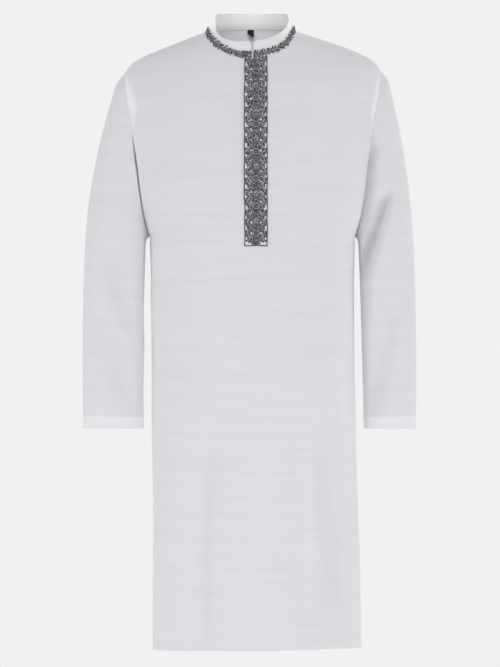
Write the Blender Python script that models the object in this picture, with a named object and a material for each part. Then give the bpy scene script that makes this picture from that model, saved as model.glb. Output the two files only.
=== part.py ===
"""A long kurta tunic of white slub cloth, filled out as if worn, with nobody in it.

The frame is in metres with +Z up. The front faces -Y and the wearer's left is +X. The origin
lies at the middle of the neck base, level with the side neck points on the shoulder line.
Each cloth piece is a wall between an outer and an inner grid of points.
"""

import math
from collections import namedtuple

import bpy
import numpy as np

MM = 0.001

# Cloth
WALL = 1.2 * MM
COLLAR_WALL = 1.8 * MM
HEM_WALL = 2.4 * MM
TRIM_WALL = 1.0 * MM
SEAM_GAP = 0.3 * MM
TRIM_GAP = 0.4 * MM
LEAST_MITRE = 0.62

# Levels, measured down from the side neck points
HEM_Z = -1061 * MM
SLIT_TOP_Z = -790 * MM
ARMPIT_Z = -353 * MM
HEM_BAND = 12 * MM
BAND_STEP = 3 * MM
HEM_SLANT = 2 * MM
HEM_CORNER_DROP = -2 * MM
SLIT_GAPE = 13 * MM
SLIT_EDGE_POWER = 12
STEADY_FADE = 50 * MM

# Shoulders and armholes
SHOULDER_HALF = 222 * MM
SHOULDER_TILT = 2.5 * MM
ARMHOLE_FRONT = 58 * MM
ARMHOLE_BACK = 62 * MM
ARMHOLE_SQUARENESS = 2.05
ARMHOLE_REACH = 6.0
SQUARENESS = 2.5

# Neck and collar
NECK_HALF = 80 * MM
NECK_FRONT = 68.5 * MM
NECK_BACK = 64 * MM
NECK_SQUARENESS = 3.0
COLLAR_TOP_HALF = 64 * MM
COLLAR_TOP_FRONT_Y = -61 * MM
COLLAR_TOP_BACK_Y = 57 * MM
COLLAR_TOP_FRONT_Z = -20.5 * MM
COLLAR_TOP_BACK_Z = 37.5 * MM
COLLAR_TOP_SIDE_Z = 23 * MM
COLLAR_CORNER = 6 * MM
COLLAR_RIGHT_EXTRA = 1.5 * MM
COLLAR_SQUARENESS_RIGHT = 2.8
COLLAR_SQUARENESS_LEFT = 1.9
COLLAR_SQUARENESS_BACK = 3.1
COLLAR_BACK_FLATNESS = 0.4
COLLAR_BOW = 1.2 * MM
CORNER_TURN = 4

# Front opening, and the trimmed strips over and under it
SLIT_HALF = 1.5 * MM
SLIT_BOTTOM_Z = -308 * MM
PLACKET_BOTTOM_Z = -370 * MM
PLACKET_RIGHT_X = -13.9 * MM
PLACKET_LEFT_X = 25.7 * MM
BORDER_WIDTH = 2.4 * MM
BORDER_RISE = 1.6 * MM
GROUND_RISE = 0.5 * MM
LEAF_RISE = 1.5 * MM
MEDALLION_RISE = 1.9 * MM
CENTRE_HALF = 5.4 * MM
MEDALLION_PITCH = 64.5 * MM
FIRST_MEDALLION_Z = -84 * MM
MEDALLION_REACH = 9 * MM
MEDALLION_SLOPE = 6 * MM
LEAF_PITCH = 21.5 * MM
GARLAND_HEIGHT = 11.5 * MM
GARLAND_SCALLOP = 1.6 * MM
GARLAND_RISE = 1.0 * MM
GARLAND_EDGE_RISE = 0.6 * MM
GARLAND_LEAF_RISE = 0.25 * MM
GARLAND_FOOT = 0.8 * MM
GARLAND_GAP = 0.85 * MM
GARLAND_COLUMNS = 101
EDGE_INSET = 0.3 * MM
EMBROIDERY_ROWS = 44
UNDER_RIGHT_X = -25.7 * MM
UNDER_LEFT_X = 13.9 * MM
UNDER_BOTTOM_Z = -345 * MM

# Label
LABEL_LEFT_X = 2.5 * MM
LABEL_RIGHT_X = -8.5 * MM
LABEL_DROP = 13 * MM
LABEL_SLANT = 3 * MM
LABEL_WALL = 1.0 * MM
LABEL_GAP = 0.9 * MM

# Grid counts
ARMHOLE_ROWS = 12
SKIRT_ROWS = 6
TRUNK_ROWS = 8
SIDE_COLUMNS = 7
COLLAR_ROWS = 4

CLOTH = (0.80, 0.79, 0.82, 1.0)
THREAD = (0.09, 0.08, 0.09, 1.0)
BLACK = (0.01, 0.01, 0.01, 1.0)

Level = namedtuple("Level", "z half_width centre front back")
BODY = (
    Level(z=-1.061, half_width=0.1800, centre=0.0078, front=0.100, back=0.098),
    Level(z=-0.930, half_width=0.1790, centre=0.0070, front=0.102, back=0.099),
    Level(z=-0.790, half_width=0.1770, centre=0.0048, front=0.106, back=0.101),
    Level(z=-0.690, half_width=0.1765, centre=0.0024, front=0.110, back=0.103),
    Level(z=-0.560, half_width=0.1752, centre=0.0010, front=0.113, back=0.105),
    Level(z=-0.420, half_width=0.1758, centre=0.0000, front=0.117, back=0.109),
    Level(z=-0.353, half_width=0.1775, centre=0.0000, front=0.118, back=0.112),
    Level(z=-0.240, half_width=0.1775, centre=0.0000, front=0.119, back=0.117),
    Level(z=-0.120, half_width=0.1775, centre=0.0000, front=0.118, back=0.119),
    Level(z=0.000, half_width=0.1775, centre=0.0000, front=0.118, back=0.118),
)

Seam = namedtuple("Seam", "rise x")
ARMHOLE_SEAM = (
    Seam(rise=0.00, x=0.1775),
    Seam(rise=0.09, x=0.1840),
    Seam(rise=0.28, x=0.1925),
    Seam(rise=0.41, x=0.1965),
    Seam(rise=0.66, x=0.2070),
    Seam(rise=0.83, x=0.2150),
    Seam(rise=1.00, x=0.2220),
)

Ridge = namedtuple("Ridge", "x z")
SHOULDER_LINE = (
    Ridge(x=0.080, z=0.0010),
    Ridge(x=0.095, z=-0.0040),
    Ridge(x=0.120, z=-0.0140),
    Ridge(x=0.156, z=-0.0277),
    Ridge(x=0.191, z=-0.0425),
    Ridge(x=0.210, z=-0.0545),
    Ridge(x=0.222, z=-0.0705),
)

# Columns of the panels from the centre out to the side neck point, as distances from the centre
FRONT_NECK_COLUMNS = (
    SLIT_HALF, -PLACKET_RIGHT_X, PLACKET_LEFT_X, 0.0360, 0.0465, 0.0570, 0.0670, 0.0745, 0.0788
)
BACK_NECK_COLUMNS = (0.0, 0.0225, 0.0420, 0.0575, 0.0685, 0.0768)

Profile = namedtuple("Profile", "sign depth armhole neck neck_rise power root neck_columns")
FRONT = Profile(
    sign=-1,
    depth="front",
    armhole=ARMHOLE_FRONT,
    neck=NECK_FRONT,
    neck_rise=0.019,
    power=2.2,
    root=0.56,
    neck_columns=FRONT_NECK_COLUMNS,
)
BACK = Profile(
    sign=1,
    depth="back",
    armhole=ARMHOLE_BACK,
    neck=NECK_BACK,
    neck_rise=0.041,
    power=3.0,
    root=0.40,
    neck_columns=BACK_NECK_COLUMNS,
)
SHOULDER_POWER = 4.0
SHOULDER_ROOT = 0.40
OUTWARD_POWER = 1.2

Ring = namedtuple("Ring", "at out_x out_z in_x in_z depth middle_y")
SLEEVE_RIGHT = (
    Ring(at=0.00, out_x=0.2220, out_z=-0.0705, in_x=0.1790, in_z=-0.353, depth=0.060, middle_y=0.002),
    Ring(at=0.08, out_x=0.2345, out_z=-0.0880, in_x=0.1835, in_z=-0.359, depth=0.061, middle_y=0.002),
    Ring(at=0.16, out_x=0.2460, out_z=-0.1260, in_x=0.1850, in_z=-0.366, depth=0.062, middle_y=0.001),
    Ring(at=0.25, out_x=0.2585, out_z=-0.1720, in_x=0.1855, in_z=-0.378, depth=0.062, middle_y=0.000),
    Ring(at=0.35, out_x=0.2735, out_z=-0.2390, in_x=0.1860, in_z=-0.398, depth=0.061, middle_y=-0.001),
    Ring(at=0.46, out_x=0.2860, out_z=-0.3240, in_x=0.1868, in_z=-0.432, depth=0.058, middle_y=-0.003),
    Ring(at=0.57, out_x=0.2910, out_z=-0.4120, in_x=0.1880, in_z=-0.482, depth=0.052, middle_y=-0.006),
    Ring(at=0.70, out_x=0.2930, out_z=-0.5060, in_x=0.1868, in_z=-0.541, depth=0.045, middle_y=-0.009),
    Ring(at=0.85, out_x=0.2930, out_z=-0.5980, in_x=0.1880, in_z=-0.610, depth=0.038, middle_y=-0.012),
    Ring(at=1.00, out_x=0.2920, out_z=-0.6850, in_x=0.1876, in_z=-0.685, depth=0.033, middle_y=-0.014),
)
SLEEVE_LEFT = (
    Ring(at=0.00, out_x=0.2220, out_z=-0.0705, in_x=0.1790, in_z=-0.353, depth=0.060, middle_y=0.002),
    Ring(at=0.08, out_x=0.2345, out_z=-0.0860, in_x=0.1820, in_z=-0.359, depth=0.061, middle_y=0.002),
    Ring(at=0.16, out_x=0.2450, out_z=-0.1260, in_x=0.1830, in_z=-0.366, depth=0.062, middle_y=0.001),
    Ring(at=0.25, out_x=0.2560, out_z=-0.1780, in_x=0.1838, in_z=-0.378, depth=0.063, middle_y=0.000),
    Ring(at=0.35, out_x=0.2670, out_z=-0.2450, in_x=0.1846, in_z=-0.398, depth=0.063, middle_y=-0.001),
    Ring(at=0.46, out_x=0.2755, out_z=-0.3240, in_x=0.1858, in_z=-0.432, depth=0.062, middle_y=-0.003),
    Ring(at=0.57, out_x=0.2805, out_z=-0.4120, in_x=0.1872, in_z=-0.482, depth=0.058, middle_y=-0.006),
    Ring(at=0.70, out_x=0.2825, out_z=-0.5060, in_x=0.1886, in_z=-0.541, depth=0.052, middle_y=-0.009),
    Ring(at=0.85, out_x=0.2832, out_z=-0.5980, in_x=0.1905, in_z=-0.610, depth=0.046, middle_y=-0.012),
    Ring(at=1.00, out_x=0.2820, out_z=-0.6850, in_x=0.1920, in_z=-0.685, depth=0.041, middle_y=-0.014),
)
SLEEVE_STEPS = (
    0.0, 0.035, 0.075, 0.12, 0.165, 0.21, 0.245, 0.275, 0.305, 0.34, 0.39, 0.46, 0.55, 0.65,
    0.76, 0.87, 0.95, 0.955, 1.0,
)
SEAM_BLEND = 0.17
SLEEVE_SQUARENESS = 2.15

# A fold runs between two points seen from the front (or back), and sinks below the cloth where
# its depth is positive, or stands proud where it is negative.
Fold = namedtuple("Fold", "x_top z_top x_low z_low depth half_width")
FRONT_FOLDS = (
    Fold(x_top=-0.066, z_top=-0.640, x_low=-0.074, z_low=-1.080, depth=0.0050, half_width=0.017),
    Fold(x_top=0.108, z_top=-0.740, x_low=0.116, z_low=-1.080, depth=0.0048, half_width=0.019),
    Fold(x_top=0.034, z_top=-0.620, x_low=0.036, z_low=-1.080, depth=-0.0035, half_width=0.022),
    Fold(x_top=-0.152, z_top=-0.560, x_low=-0.150, z_low=-0.820, depth=0.0040, half_width=0.014),
    Fold(x_top=-0.205, z_top=-0.090, x_low=-0.192, z_low=-0.170, depth=-0.0030, half_width=0.012),
    Fold(x_top=0.208, z_top=-0.080, x_low=0.200, z_low=-0.150, depth=-0.0025, half_width=0.010),
)
BACK_FOLDS = (
    Fold(x_top=0.070, z_top=-0.600, x_low=0.078, z_low=-1.080, depth=0.0050, half_width=0.018),
    Fold(x_top=-0.095, z_top=-0.690, x_low=-0.104, z_low=-1.080, depth=0.0046, half_width=0.018),
    Fold(x_top=-0.020, z_top=-0.560, x_low=-0.012, z_low=-1.080, depth=-0.0035, half_width=0.024),
    Fold(x_top=0.150, z_top=-0.400, x_low=0.120, z_low=-0.560, depth=0.0035, half_width=0.016),
    Fold(x_top=-0.150, z_top=-0.400, x_low=-0.128, z_low=-0.540, depth=0.0030, half_width=0.016),
)
SLEEVE_LEFT_FRONT_FOLDS = (
    Fold(x_top=0.226, z_top=-0.300, x_low=0.190, z_low=-0.400, depth=0.0075, half_width=0.011),
    Fold(x_top=0.232, z_top=-0.360, x_low=0.198, z_low=-0.470, depth=-0.0035, half_width=0.014),
    Fold(x_top=0.240, z_top=-0.470, x_low=0.208, z_low=-0.670, depth=0.0040, half_width=0.014),
)
SLEEVE_RIGHT_FRONT_FOLDS = (
    Fold(x_top=-0.236, z_top=-0.400, x_low=-0.208, z_low=-0.520, depth=0.0042, half_width=0.013),
    Fold(x_top=-0.258, z_top=-0.500, x_low=-0.216, z_low=-0.630, depth=0.0040, half_width=0.013),
)
SLEEVE_LEFT_BACK_FOLDS = (
    Fold(x_top=0.232, z_top=-0.270, x_low=0.192, z_low=-0.390, depth=0.0060, half_width=0.013),
    Fold(x_top=0.250, z_top=-0.430, x_low=0.212, z_low=-0.560, depth=0.0040, half_width=0.015),
)
SLEEVE_RIGHT_BACK_FOLDS = (
    Fold(x_top=-0.236, z_top=-0.260, x_low=-0.192, z_low=-0.380, depth=0.0060, half_width=0.013),
    Fold(x_top=-0.244, z_top=-0.460, x_low=-0.210, z_low=-0.600, depth=0.0042, half_width=0.015),
)


FOLD_EDGE_POWER = 8
FOLD_RUN_ON = 0.1
FOLD_FADE = 0.3


def smooth(rows, key, value, at):
    """One column of a table, read at any place along another by a monotone cubic."""
    x = np.array([getattr(row, key) for row in rows])
    y = np.array([getattr(row, value) for row in rows])
    width = np.diff(x)
    slope = np.diff(y) / width
    tangent = np.zeros_like(y)
    same_way = slope[:-1] * slope[1:] > 0
    inner = np.zeros(len(slope) - 1)
    inner[same_way] = 2 / (1 / slope[:-1][same_way] + 1 / slope[1:][same_way])
    tangent[1:-1] = inner
    tangent[0] = slope[0]
    tangent[-1] = slope[-1]
    place = np.clip(np.asarray(at, float), x[0], x[-1])
    cell = np.clip(np.searchsorted(x, place, side="right") - 1, 0, len(slope) - 1)
    t = (place - x[cell]) / width[cell]
    return (
        y[cell] * (1 + 2 * t) * (1 - t) ** 2
        + y[cell + 1] * t * t * (3 - 2 * t)
        + width[cell] * t * (1 - t) * (tangent[cell] * (1 - t) - tangent[cell + 1] * t)
    )


def unit(vectors):
    return vectors / np.maximum(np.linalg.norm(vectors, axis=-1, keepdims=True), 1e-12)


def lame(ratio, power=SQUARENESS):
    """Height of a squared ellipse of height 1 at this share of its half width."""
    return np.maximum(1 - np.abs(ratio) ** power, 0) ** (1 / power)


def fold_shift(folds, x, z):
    """How far the folds sink the cloth at each place seen from the front."""
    shift = np.zeros(np.broadcast(x, z).shape)
    for fold in folds:
        run = np.array([fold.x_low - fold.x_top, fold.z_low - fold.z_top])
        length = np.linalg.norm(run)
        place = ((x - fold.x_top) * run[0] + (z - fold.z_top) * run[1]) / length**2
        across = ((x - fold.x_top) * run[1] - (z - fold.z_top) * run[0]) / length
        from_end = np.minimum(place, 1 - place) + FOLD_RUN_ON
        ends = np.clip(from_end / FOLD_FADE, 0, 1)
        reach = ends * ends * (3 - 2 * ends)
        shift += fold.depth * reach * np.exp(-((across / fold.half_width) ** 2))
    return shift


def column_tables(profile):
    """Distances of a panel's columns from the centre, at the chest and at the top."""
    half = BODY[-1].half_width
    neck_share = NECK_HALF / half
    first = math.asin(neck_share ** (SQUARENESS / 2))
    turns = np.linspace(first, math.pi / 2, SIDE_COLUMNS + 1)
    chest_side = half * np.sin(turns) ** (2 / SQUARENESS)
    top_side = np.linspace(NECK_HALF, SHOULDER_HALF, SIDE_COLUMNS + 1)
    chest = np.concatenate([profile.neck_columns, chest_side])
    top = np.concatenate([profile.neck_columns, top_side])
    mirrored = slice(None, 0 if chest[0] == 0 else None, -1)
    return (
        np.concatenate([-chest[mirrored], chest]),
        np.concatenate([-top[mirrored], top]),
    )


def shoulder_height(profile, x):
    """Height of the shoulder line, carried on over the neck opening."""
    line = smooth(SHOULDER_LINE, "x", "z", np.abs(x))
    over_neck = profile.neck_rise * np.maximum(1 - (x / NECK_HALF) ** 2, 0)
    return line + over_neck + SHOULDER_TILT * x / SHOULDER_HALF


def upper_points(profile, chest, top, rise):
    """Points of a panel above the armpits: rise goes from 0 at the chest to 1 on the shoulder."""
    seam_x = smooth(ARMHOLE_SEAM, "rise", "x", rise)
    spread = (seam_x - chest[-1]) / (top[-1] - chest[-1])
    x = chest + (top - chest) * spread
    height = shoulder_height(profile, top)
    z = ARMPIT_Z + (height - ARMPIT_Z) * rise
    level = ARMPIT_Z * (1 - rise)
    depth = smooth(BODY, "z", profile.depth, level)
    outward = (np.abs(top) / SHOULDER_HALF) ** OUTWARD_POWER
    power = profile.power + (SHOULDER_POWER - profile.power) * outward
    root = profile.root + (SHOULDER_ROOT - profile.root) * outward
    closing = np.maximum(1 - rise**power, 0) ** root
    inside = np.minimum(rise, 0.999)
    edge_closing = (1 - inside**SHOULDER_POWER) ** SHOULDER_ROOT
    edge_share = profile.armhole * lame(2 * inside - 1, ARMHOLE_SQUARENESS) / (depth * edge_closing)
    ratio = x / seam_x
    at_edge = edge_share * np.abs(ratio) ** ARMHOLE_REACH
    section = (lame(ratio) ** SQUARENESS + at_edge**SQUARENESS) ** (1 / SQUARENESS)
    y = profile.sign * depth * closing * section
    return np.stack([x, y, z], axis=-1)


def neck_rises(profile, chest, top):
    """For each column, the rise at which it ends on the neckline, or 1 on the shoulder."""
    rises = np.ones(len(top))
    samples = np.linspace(0.55, 0.9995, 400)
    for i in np.flatnonzero(np.abs(top) < NECK_HALF - 1e-9):
        wanted = profile.neck * lame(top[i] / NECK_HALF, NECK_SQUARENESS)
        sizes = [
            abs(upper_points(profile, chest, top, np.full(len(top), s))[i, 1]) for s in samples
        ]
        rises[i] = np.interp(-wanted, -np.array(sizes), samples)
    return rises


def hem_height(x):
    """The hem hangs a little lower on the wearer's right and at its corners."""
    across = x / BODY[0].half_width
    return HEM_Z + HEM_SLANT * across + HEM_CORNER_DROP * across**4


def lower_points(profile, chest, level_share, level):
    """Points of a panel at one level below the armpits."""
    half = smooth(BODY, "z", "half_width", level)
    depth = smooth(BODY, "z", profile.depth, level)
    ratio = chest / chest[-1]
    grow = half / chest[-1]
    keep = np.clip((ARMPIT_Z - level) / STEADY_FADE, 0, 1)
    steady = np.abs(chest) < PLACKET_LEFT_X + MM
    x = np.where(steady, chest * (1 + (grow - 1) * keep), chest * grow)
    y = profile.sign * depth * lame(ratio)
    x = x + smooth(BODY, "z", "centre", level)
    z = level + (hem_height(x) - HEM_Z) * level_share
    below_slit = np.clip((SLIT_TOP_Z - level) / (SLIT_TOP_Z - HEM_Z), 0, 1)
    near_edge = np.abs(ratio) ** SLIT_EDGE_POWER
    y = y + profile.sign * SLIT_GAPE * below_slit**1.5 * near_edge
    return np.stack([x, y, z + 0 * x], axis=-1)


def lower_levels():
    """Levels of the rows from the hem up to just below the armpits."""
    band_top = HEM_Z + HEM_BAND
    skirt = np.linspace(band_top + BAND_STEP, SLIT_TOP_Z, SKIRT_ROWS)
    trunk = np.linspace(SLIT_TOP_Z, PLACKET_BOTTOM_Z, TRUNK_ROWS)
    return np.concatenate([[HEM_Z, band_top], skirt, trunk[1:]])


def panel_grid(profile, folds):
    """Outer points of the front or back, rows from the hem to the top."""
    chest, top = column_tables(profile)
    rows = []
    for level in lower_levels():
        share = (ARMPIT_Z - level) / (ARMPIT_Z - HEM_Z)
        rows.append(lower_points(profile, chest, share**2, level))
    ends = neck_rises(profile, chest, top)
    for j in range(ARMHOLE_ROWS + 1):
        share = (1 - math.cos(math.pi * j / ARMHOLE_ROWS)) / 2
        rows.append(upper_points(profile, chest, top, share * ends))
    grid = np.array(rows)
    held_at_edge = np.abs(chest / chest[-1]) ** FOLD_EDGE_POWER
    sink = fold_shift(folds, grid[:, :, 0], grid[:, :, 2]) * (1 - held_at_edge)
    grid[:, :, 1] -= profile.sign * sink
    grid[:, :, 1] += profile.sign * SEAM_GAP / 2
    return grid


def normals_of(grid, around=False, flip=False):
    """Outward direction at each point of a grid, from the cells that meet there."""
    total = np.zeros_like(grid)
    cells = np.roll(grid, -1, axis=1) if around else grid[:, 1:]
    near = grid if around else grid[:, :-1]
    across = np.cross(cells[:-1] - near[1:], cells[1:] - near[:-1])
    if flip:
        across = -across
    across = unit(across)
    for rows in (slice(0, -1), slice(1, None)):
        if around:
            total[rows] += across + np.roll(across, 1, axis=1)
        else:
            total[rows, :-1] += across
            total[rows, 1:] += across
    return unit(total)


def wall_mesh(name, outer, inner, around=False, missing=(), flip=False):
    """Closed mesh between two grids; missing holds the (row, column) cells that are cut out."""
    rows, columns = outer.shape[:2]
    spans = columns if around else columns - 1
    cut = set(missing)
    cells = [(r, c) for r in range(rows - 1) for c in range(spans) if (r, c) not in cut]
    points = np.concatenate([outer.reshape(-1, 3), inner.reshape(-1, 3)])
    back = rows * columns

    def corner(r, c):
        return r * columns + c % columns

    faces = []
    edges = {}
    for r, c in cells:
        ring = [corner(r, c), corner(r, c + 1), corner(r + 1, c + 1), corner(r + 1, c)]
        if flip:
            ring.reverse()
        faces.append(ring)
        faces.append([i + back for i in reversed(ring)])
        for a, b in zip(ring, ring[1:] + ring[:1]):
            if (b, a) in edges:
                del edges[(b, a)]
            else:
                edges[(a, b)] = True
    for a, b in edges:
        faces.append([b, a, a + back, b + back])
    used = sorted({i for face in faces for i in face})
    order = {old: new for new, old in enumerate(used)}
    mesh = bpy.data.meshes.new(name)
    mesh.from_pydata(
        [tuple(points[i]) for i in used], [], [[order[i] for i in face] for face in faces]
    )
    mesh.update()
    return mesh


def material(name, colour, roughness):
    made = bpy.data.materials.new(name)
    made.use_nodes = True
    shader = made.node_tree.nodes["Principled BSDF"]
    shader.inputs["Base Color"].default_value = colour
    shader.inputs["Roughness"].default_value = roughness
    shader.inputs["Metallic"].default_value = 0.0
    made.diffuse_color = colour
    return made


def add_piece(parent, mesh, finish):
    mesh.materials.append(finish)
    mesh.shade_smooth()
    mesh.set_sharp_from_angle(angle=math.radians(50))
    piece = bpy.data.objects.new(mesh.name, mesh)
    bpy.context.scene.collection.objects.link(piece)
    piece.parent = parent
    return piece


def sleeve_grid(rings, side, folds_front, folds_back, armhole):
    """Outer points of a sleeve, rows from the armhole to the hem, columns round the arm.

    The first column lies under the arm; the columns then go up the front and down the back.
    """
    count = len(armhole)
    turn = np.arange(count) * 2 * math.pi / count
    upward = -np.cos(turn)
    forward = np.where(turn <= math.pi, -1.0, 1.0)
    rows = []
    for at in SLEEVE_STEPS:
        outer = np.array([smooth(rings, "at", "out_x", at), 0, smooth(rings, "at", "out_z", at)])
        inner = np.array([smooth(rings, "at", "in_x", at), 0, smooth(rings, "at", "in_z", at)])
        middle = (outer + inner) / 2
        reach = (outer - inner) / 2
        ring = middle + upward[:, None] * reach
        power = SLEEVE_SQUARENESS + (SQUARENESS - SLEEVE_SQUARENESS) * max(1 - at / SEAM_BLEND, 0)
        depth = smooth(rings, "at", "depth", at)
        ring[:, 1] = smooth(rings, "at", "middle_y", at) + forward * depth * lame(upward, power)
        ring[:, 0] *= side
        rows.append(ring)
    grid = np.array(rows)
    fade = np.clip(1 - np.array(SLEEVE_STEPS) / SEAM_BLEND, 0, 1)
    fade = fade * fade * (3 - 2 * fade)
    grid += fade[:, None, None] * (armhole - grid[0])
    for folds, facing in ((folds_front, -1.0), (folds_back, 1.0)):
        faces_there = forward == facing
        sink = fold_shift(folds, grid[:, :, 0], grid[:, :, 2]) * faces_there
        sink *= lame(upward, 2) ** 0.5 * (1 - fade[:, None])
        grid[:, :, 1] -= facing * sink
    return grid


def armhole_loop(front, back, column):
    """Both panels' edges above the armpit as one loop: up the front, then down the back."""
    up = front[-ARMHOLE_ROWS - 1 :, column]
    down = back[-ARMHOLE_ROWS - 1 :, column]
    loop = np.concatenate([up, down[-2:0:-1]])
    loop[0] = (up[0] + down[0]) / 2
    loop[ARMHOLE_ROWS] = (up[-1] + down[-1]) / 2
    return loop


def write_armhole(loop, front, back, column):
    """Writes a loop's values back to both panels' edges."""
    front[-ARMHOLE_ROWS - 1 :, column] = loop[: ARMHOLE_ROWS + 1]
    back[-ARMHOLE_ROWS - 1 :, column] = np.concatenate([loop[:1], loop[: ARMHOLE_ROWS - 1 : -1]])


def neck_columns(front_count, back_count):
    """The neck seam's columns as (front, back) pairs, from the opening's left edge round the
    back to its right edge; a side neck point has both, and the others have one."""
    side = SIDE_COLUMNS
    left = [(c, None) for c in range(front_count // 2, front_count - side - 1)]
    right = [(c, None) for c in range(side + 1, front_count // 2)]
    behind = [(None, c) for c in range(back_count - side - 2, side, -1)]
    left_point = (front_count - side - 1, back_count - side - 1)
    return left + [left_point] + behind + [(side, side)] + right


def neck_line(front, back, pairs):
    """The panels' top row along the neck seam."""
    line = []
    for f, b in pairs:
        ends = [grid[-1, c] for grid, c in ((front, f), (back, b)) if c is not None]
        line.append(sum(ends) / len(ends))
    return np.array(line)


def write_neck(line, front, back, pairs):
    """Writes values along the neck seam back to the panels' top rows."""
    for value, (f, b) in zip(line, pairs):
        if f is not None:
            front[-1, f] = value
        if b is not None:
            back[-1, b] = value


def step_off(seam, beyond, normals, closed=True):
    """A seam line moved off its neighbour by the seam gap, towards the next row of the piece."""
    if closed:
        tangent = np.roll(seam, -1, axis=0) - np.roll(seam, 1, axis=0)
    else:
        tangent = np.gradient(seam, axis=0)
    away = unit(np.cross(tangent, normals))
    side = np.sign(np.sum(away * (beyond - seam), axis=-1, keepdims=True))
    return seam + away * side * SEAM_GAP


def collar_top(bottom):
    """The band's top edge above each point of its seam."""
    angle = np.arctan2(bottom[:, 0] / NECK_HALF, -bottom[:, 1] / NECK_FRONT)
    sine, cosine = np.sin(angle), np.cos(angle)
    rightward = np.clip(-CORNER_TURN * sine, 0, 1) * np.clip(CORNER_TURN * cosine, 0, 1)
    square = COLLAR_SQUARENESS_LEFT + (COLLAR_SQUARENESS_RIGHT - COLLAR_SQUARENESS_LEFT) * rightward
    backward = np.clip(-CORNER_TURN * cosine, 0, 1)
    square = square + (COLLAR_SQUARENESS_BACK - square) * backward
    across = np.sign(sine) * np.abs(sine) ** (2 / square)
    share = np.abs(cosine) ** (2 / square)
    forward = cosine > 0
    end_y = np.where(forward, COLLAR_TOP_FRONT_Y, COLLAR_TOP_BACK_Y)
    end_z = np.where(forward, COLLAR_TOP_FRONT_Z, COLLAR_TOP_BACK_Z)
    rise = np.where(forward, share, share**COLLAR_BACK_FLATNESS)
    half = COLLAR_TOP_HALF + COLLAR_RIGHT_EXTRA * np.clip(-sine, 0, 1)
    z = COLLAR_TOP_SIDE_Z + (end_z - COLLAR_TOP_SIDE_Z) * rise
    return np.stack([half * across, end_y * share, z], axis=-1)


def end_columns(line):
    """A line with extra points near both ends, for the round corners."""
    shares = (0.0, 0.1, 0.25, 0.5)
    first = [line[0] + (line[1] - line[0]) * s for s in shares]
    last = [line[-1] + (line[-2] - line[-1]) * s for s in reversed(shares)]
    return np.concatenate([first, line[1:-1], last])


def collar_grid(seam, top):
    """Outer points of the collar, rows from the seam up, columns round the neck."""
    run = np.concatenate([[0], np.cumsum(np.linalg.norm(np.diff(top, axis=0), axis=1))])
    from_end = np.minimum(run, run[-1] - run)
    short = np.maximum(COLLAR_CORNER - from_end, 0)
    drop = COLLAR_CORNER - np.sqrt(COLLAR_CORNER**2 - short**2)
    height = np.linalg.norm(top - seam, axis=1)
    rows = []
    for share in np.linspace(0, 1, COLLAR_ROWS + 1):
        row = seam + (top - seam) * (share * (1 - drop / height))[:, None]
        row[:, :2] += unit(row[:, :2]) * COLLAR_BOW * math.sin(math.pi * share)
        rows.append(row)
    return np.array(rows)


def sample(grid, rows, columns):
    """Points of a grid at fractional rows and columns, as one array of rows by columns."""
    r = np.clip(np.floor(rows).astype(int), 0, grid.shape[0] - 2)
    c = np.clip(np.floor(columns).astype(int), 0, grid.shape[1] - 2)
    up = (rows - r)[:, None, None]
    over = (columns - c)[None, :, None]
    low = grid[np.ix_(r, c)] * (1 - over) + grid[np.ix_(r, c + 1)] * over
    high = grid[np.ix_(r + 1, c)] * (1 - over) + grid[np.ix_(r + 1, c + 1)] * over
    return low * (1 - up) + high * up


def along(grid, rows, columns):
    """Points of a grid at matching pairs of fractional rows and columns."""
    pairs = zip(rows, columns)
    return np.array([sample(grid, np.array([r]), np.array([c]))[0, 0] for r, c in pairs])


class Cloth:
    """A cloth piece's outer grid, with the directions its wall is thickened along."""

    def __init__(self, outer, around=False, flip=False):
        self.outer = outer
        self.around = around
        self.flip = flip
        self.own = normals_of(outer, around, flip)
        self.normals = self.own.copy()

    def raised(self, height):
        """The outer grid moved out by a height, which may be negative."""
        return self.outer + self.normals * height

    def inner(self, thickness):
        """The wall's inner points; a mitred edge keeps the wall's own thickness."""
        lean = np.clip(np.sum(self.normals * self.own, axis=-1), LEAST_MITRE, 1)
        depth = np.broadcast_to(thickness, lean.shape) / lean
        return self.outer - self.normals * depth[..., None]

    def mesh(self, name, thickness, missing=()):
        return wall_mesh(name, self.outer, self.inner(thickness), self.around, missing, self.flip)


def share_directions(first, second, first_index, second_index):
    """Gives two pieces the same wall direction along a seam."""
    shared = unit(first.normals[first_index] + second.normals[second_index])
    first.normals[first_index] = shared
    second.normals[second_index] = shared


def join_panels(front, back):
    """The side edges, sewn above the slits and square to each other below, and the shoulder seams."""
    for column in (0, -1):
        share_directions(front, back, (slice(None), column), (slice(None), column))
    for column in range(SIDE_COLUMNS + 1):
        share_directions(front, back, (-1, column), (-1, column))
        share_directions(front, back, (-1, -1 - column), (-1, -1 - column))


def make_sleeve(front, back, rings, side, folds_front, folds_back):
    column = -1 if side > 0 else 0
    armhole = armhole_loop(front.outer, back.outer, column)
    sleeve = Cloth(
        sleeve_grid(rings, side, folds_front, folds_back, armhole), around=True, flip=side > 0
    )
    panels = unit(armhole_loop(front.normals, back.normals, column))
    shared = unit(panels + sleeve.own[0])
    write_armhole(shared, front.normals, back.normals, column)
    sleeve.normals[0] = shared
    sleeve.outer[0] = step_off(armhole, sleeve.outer[1], shared)
    return sleeve


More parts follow.
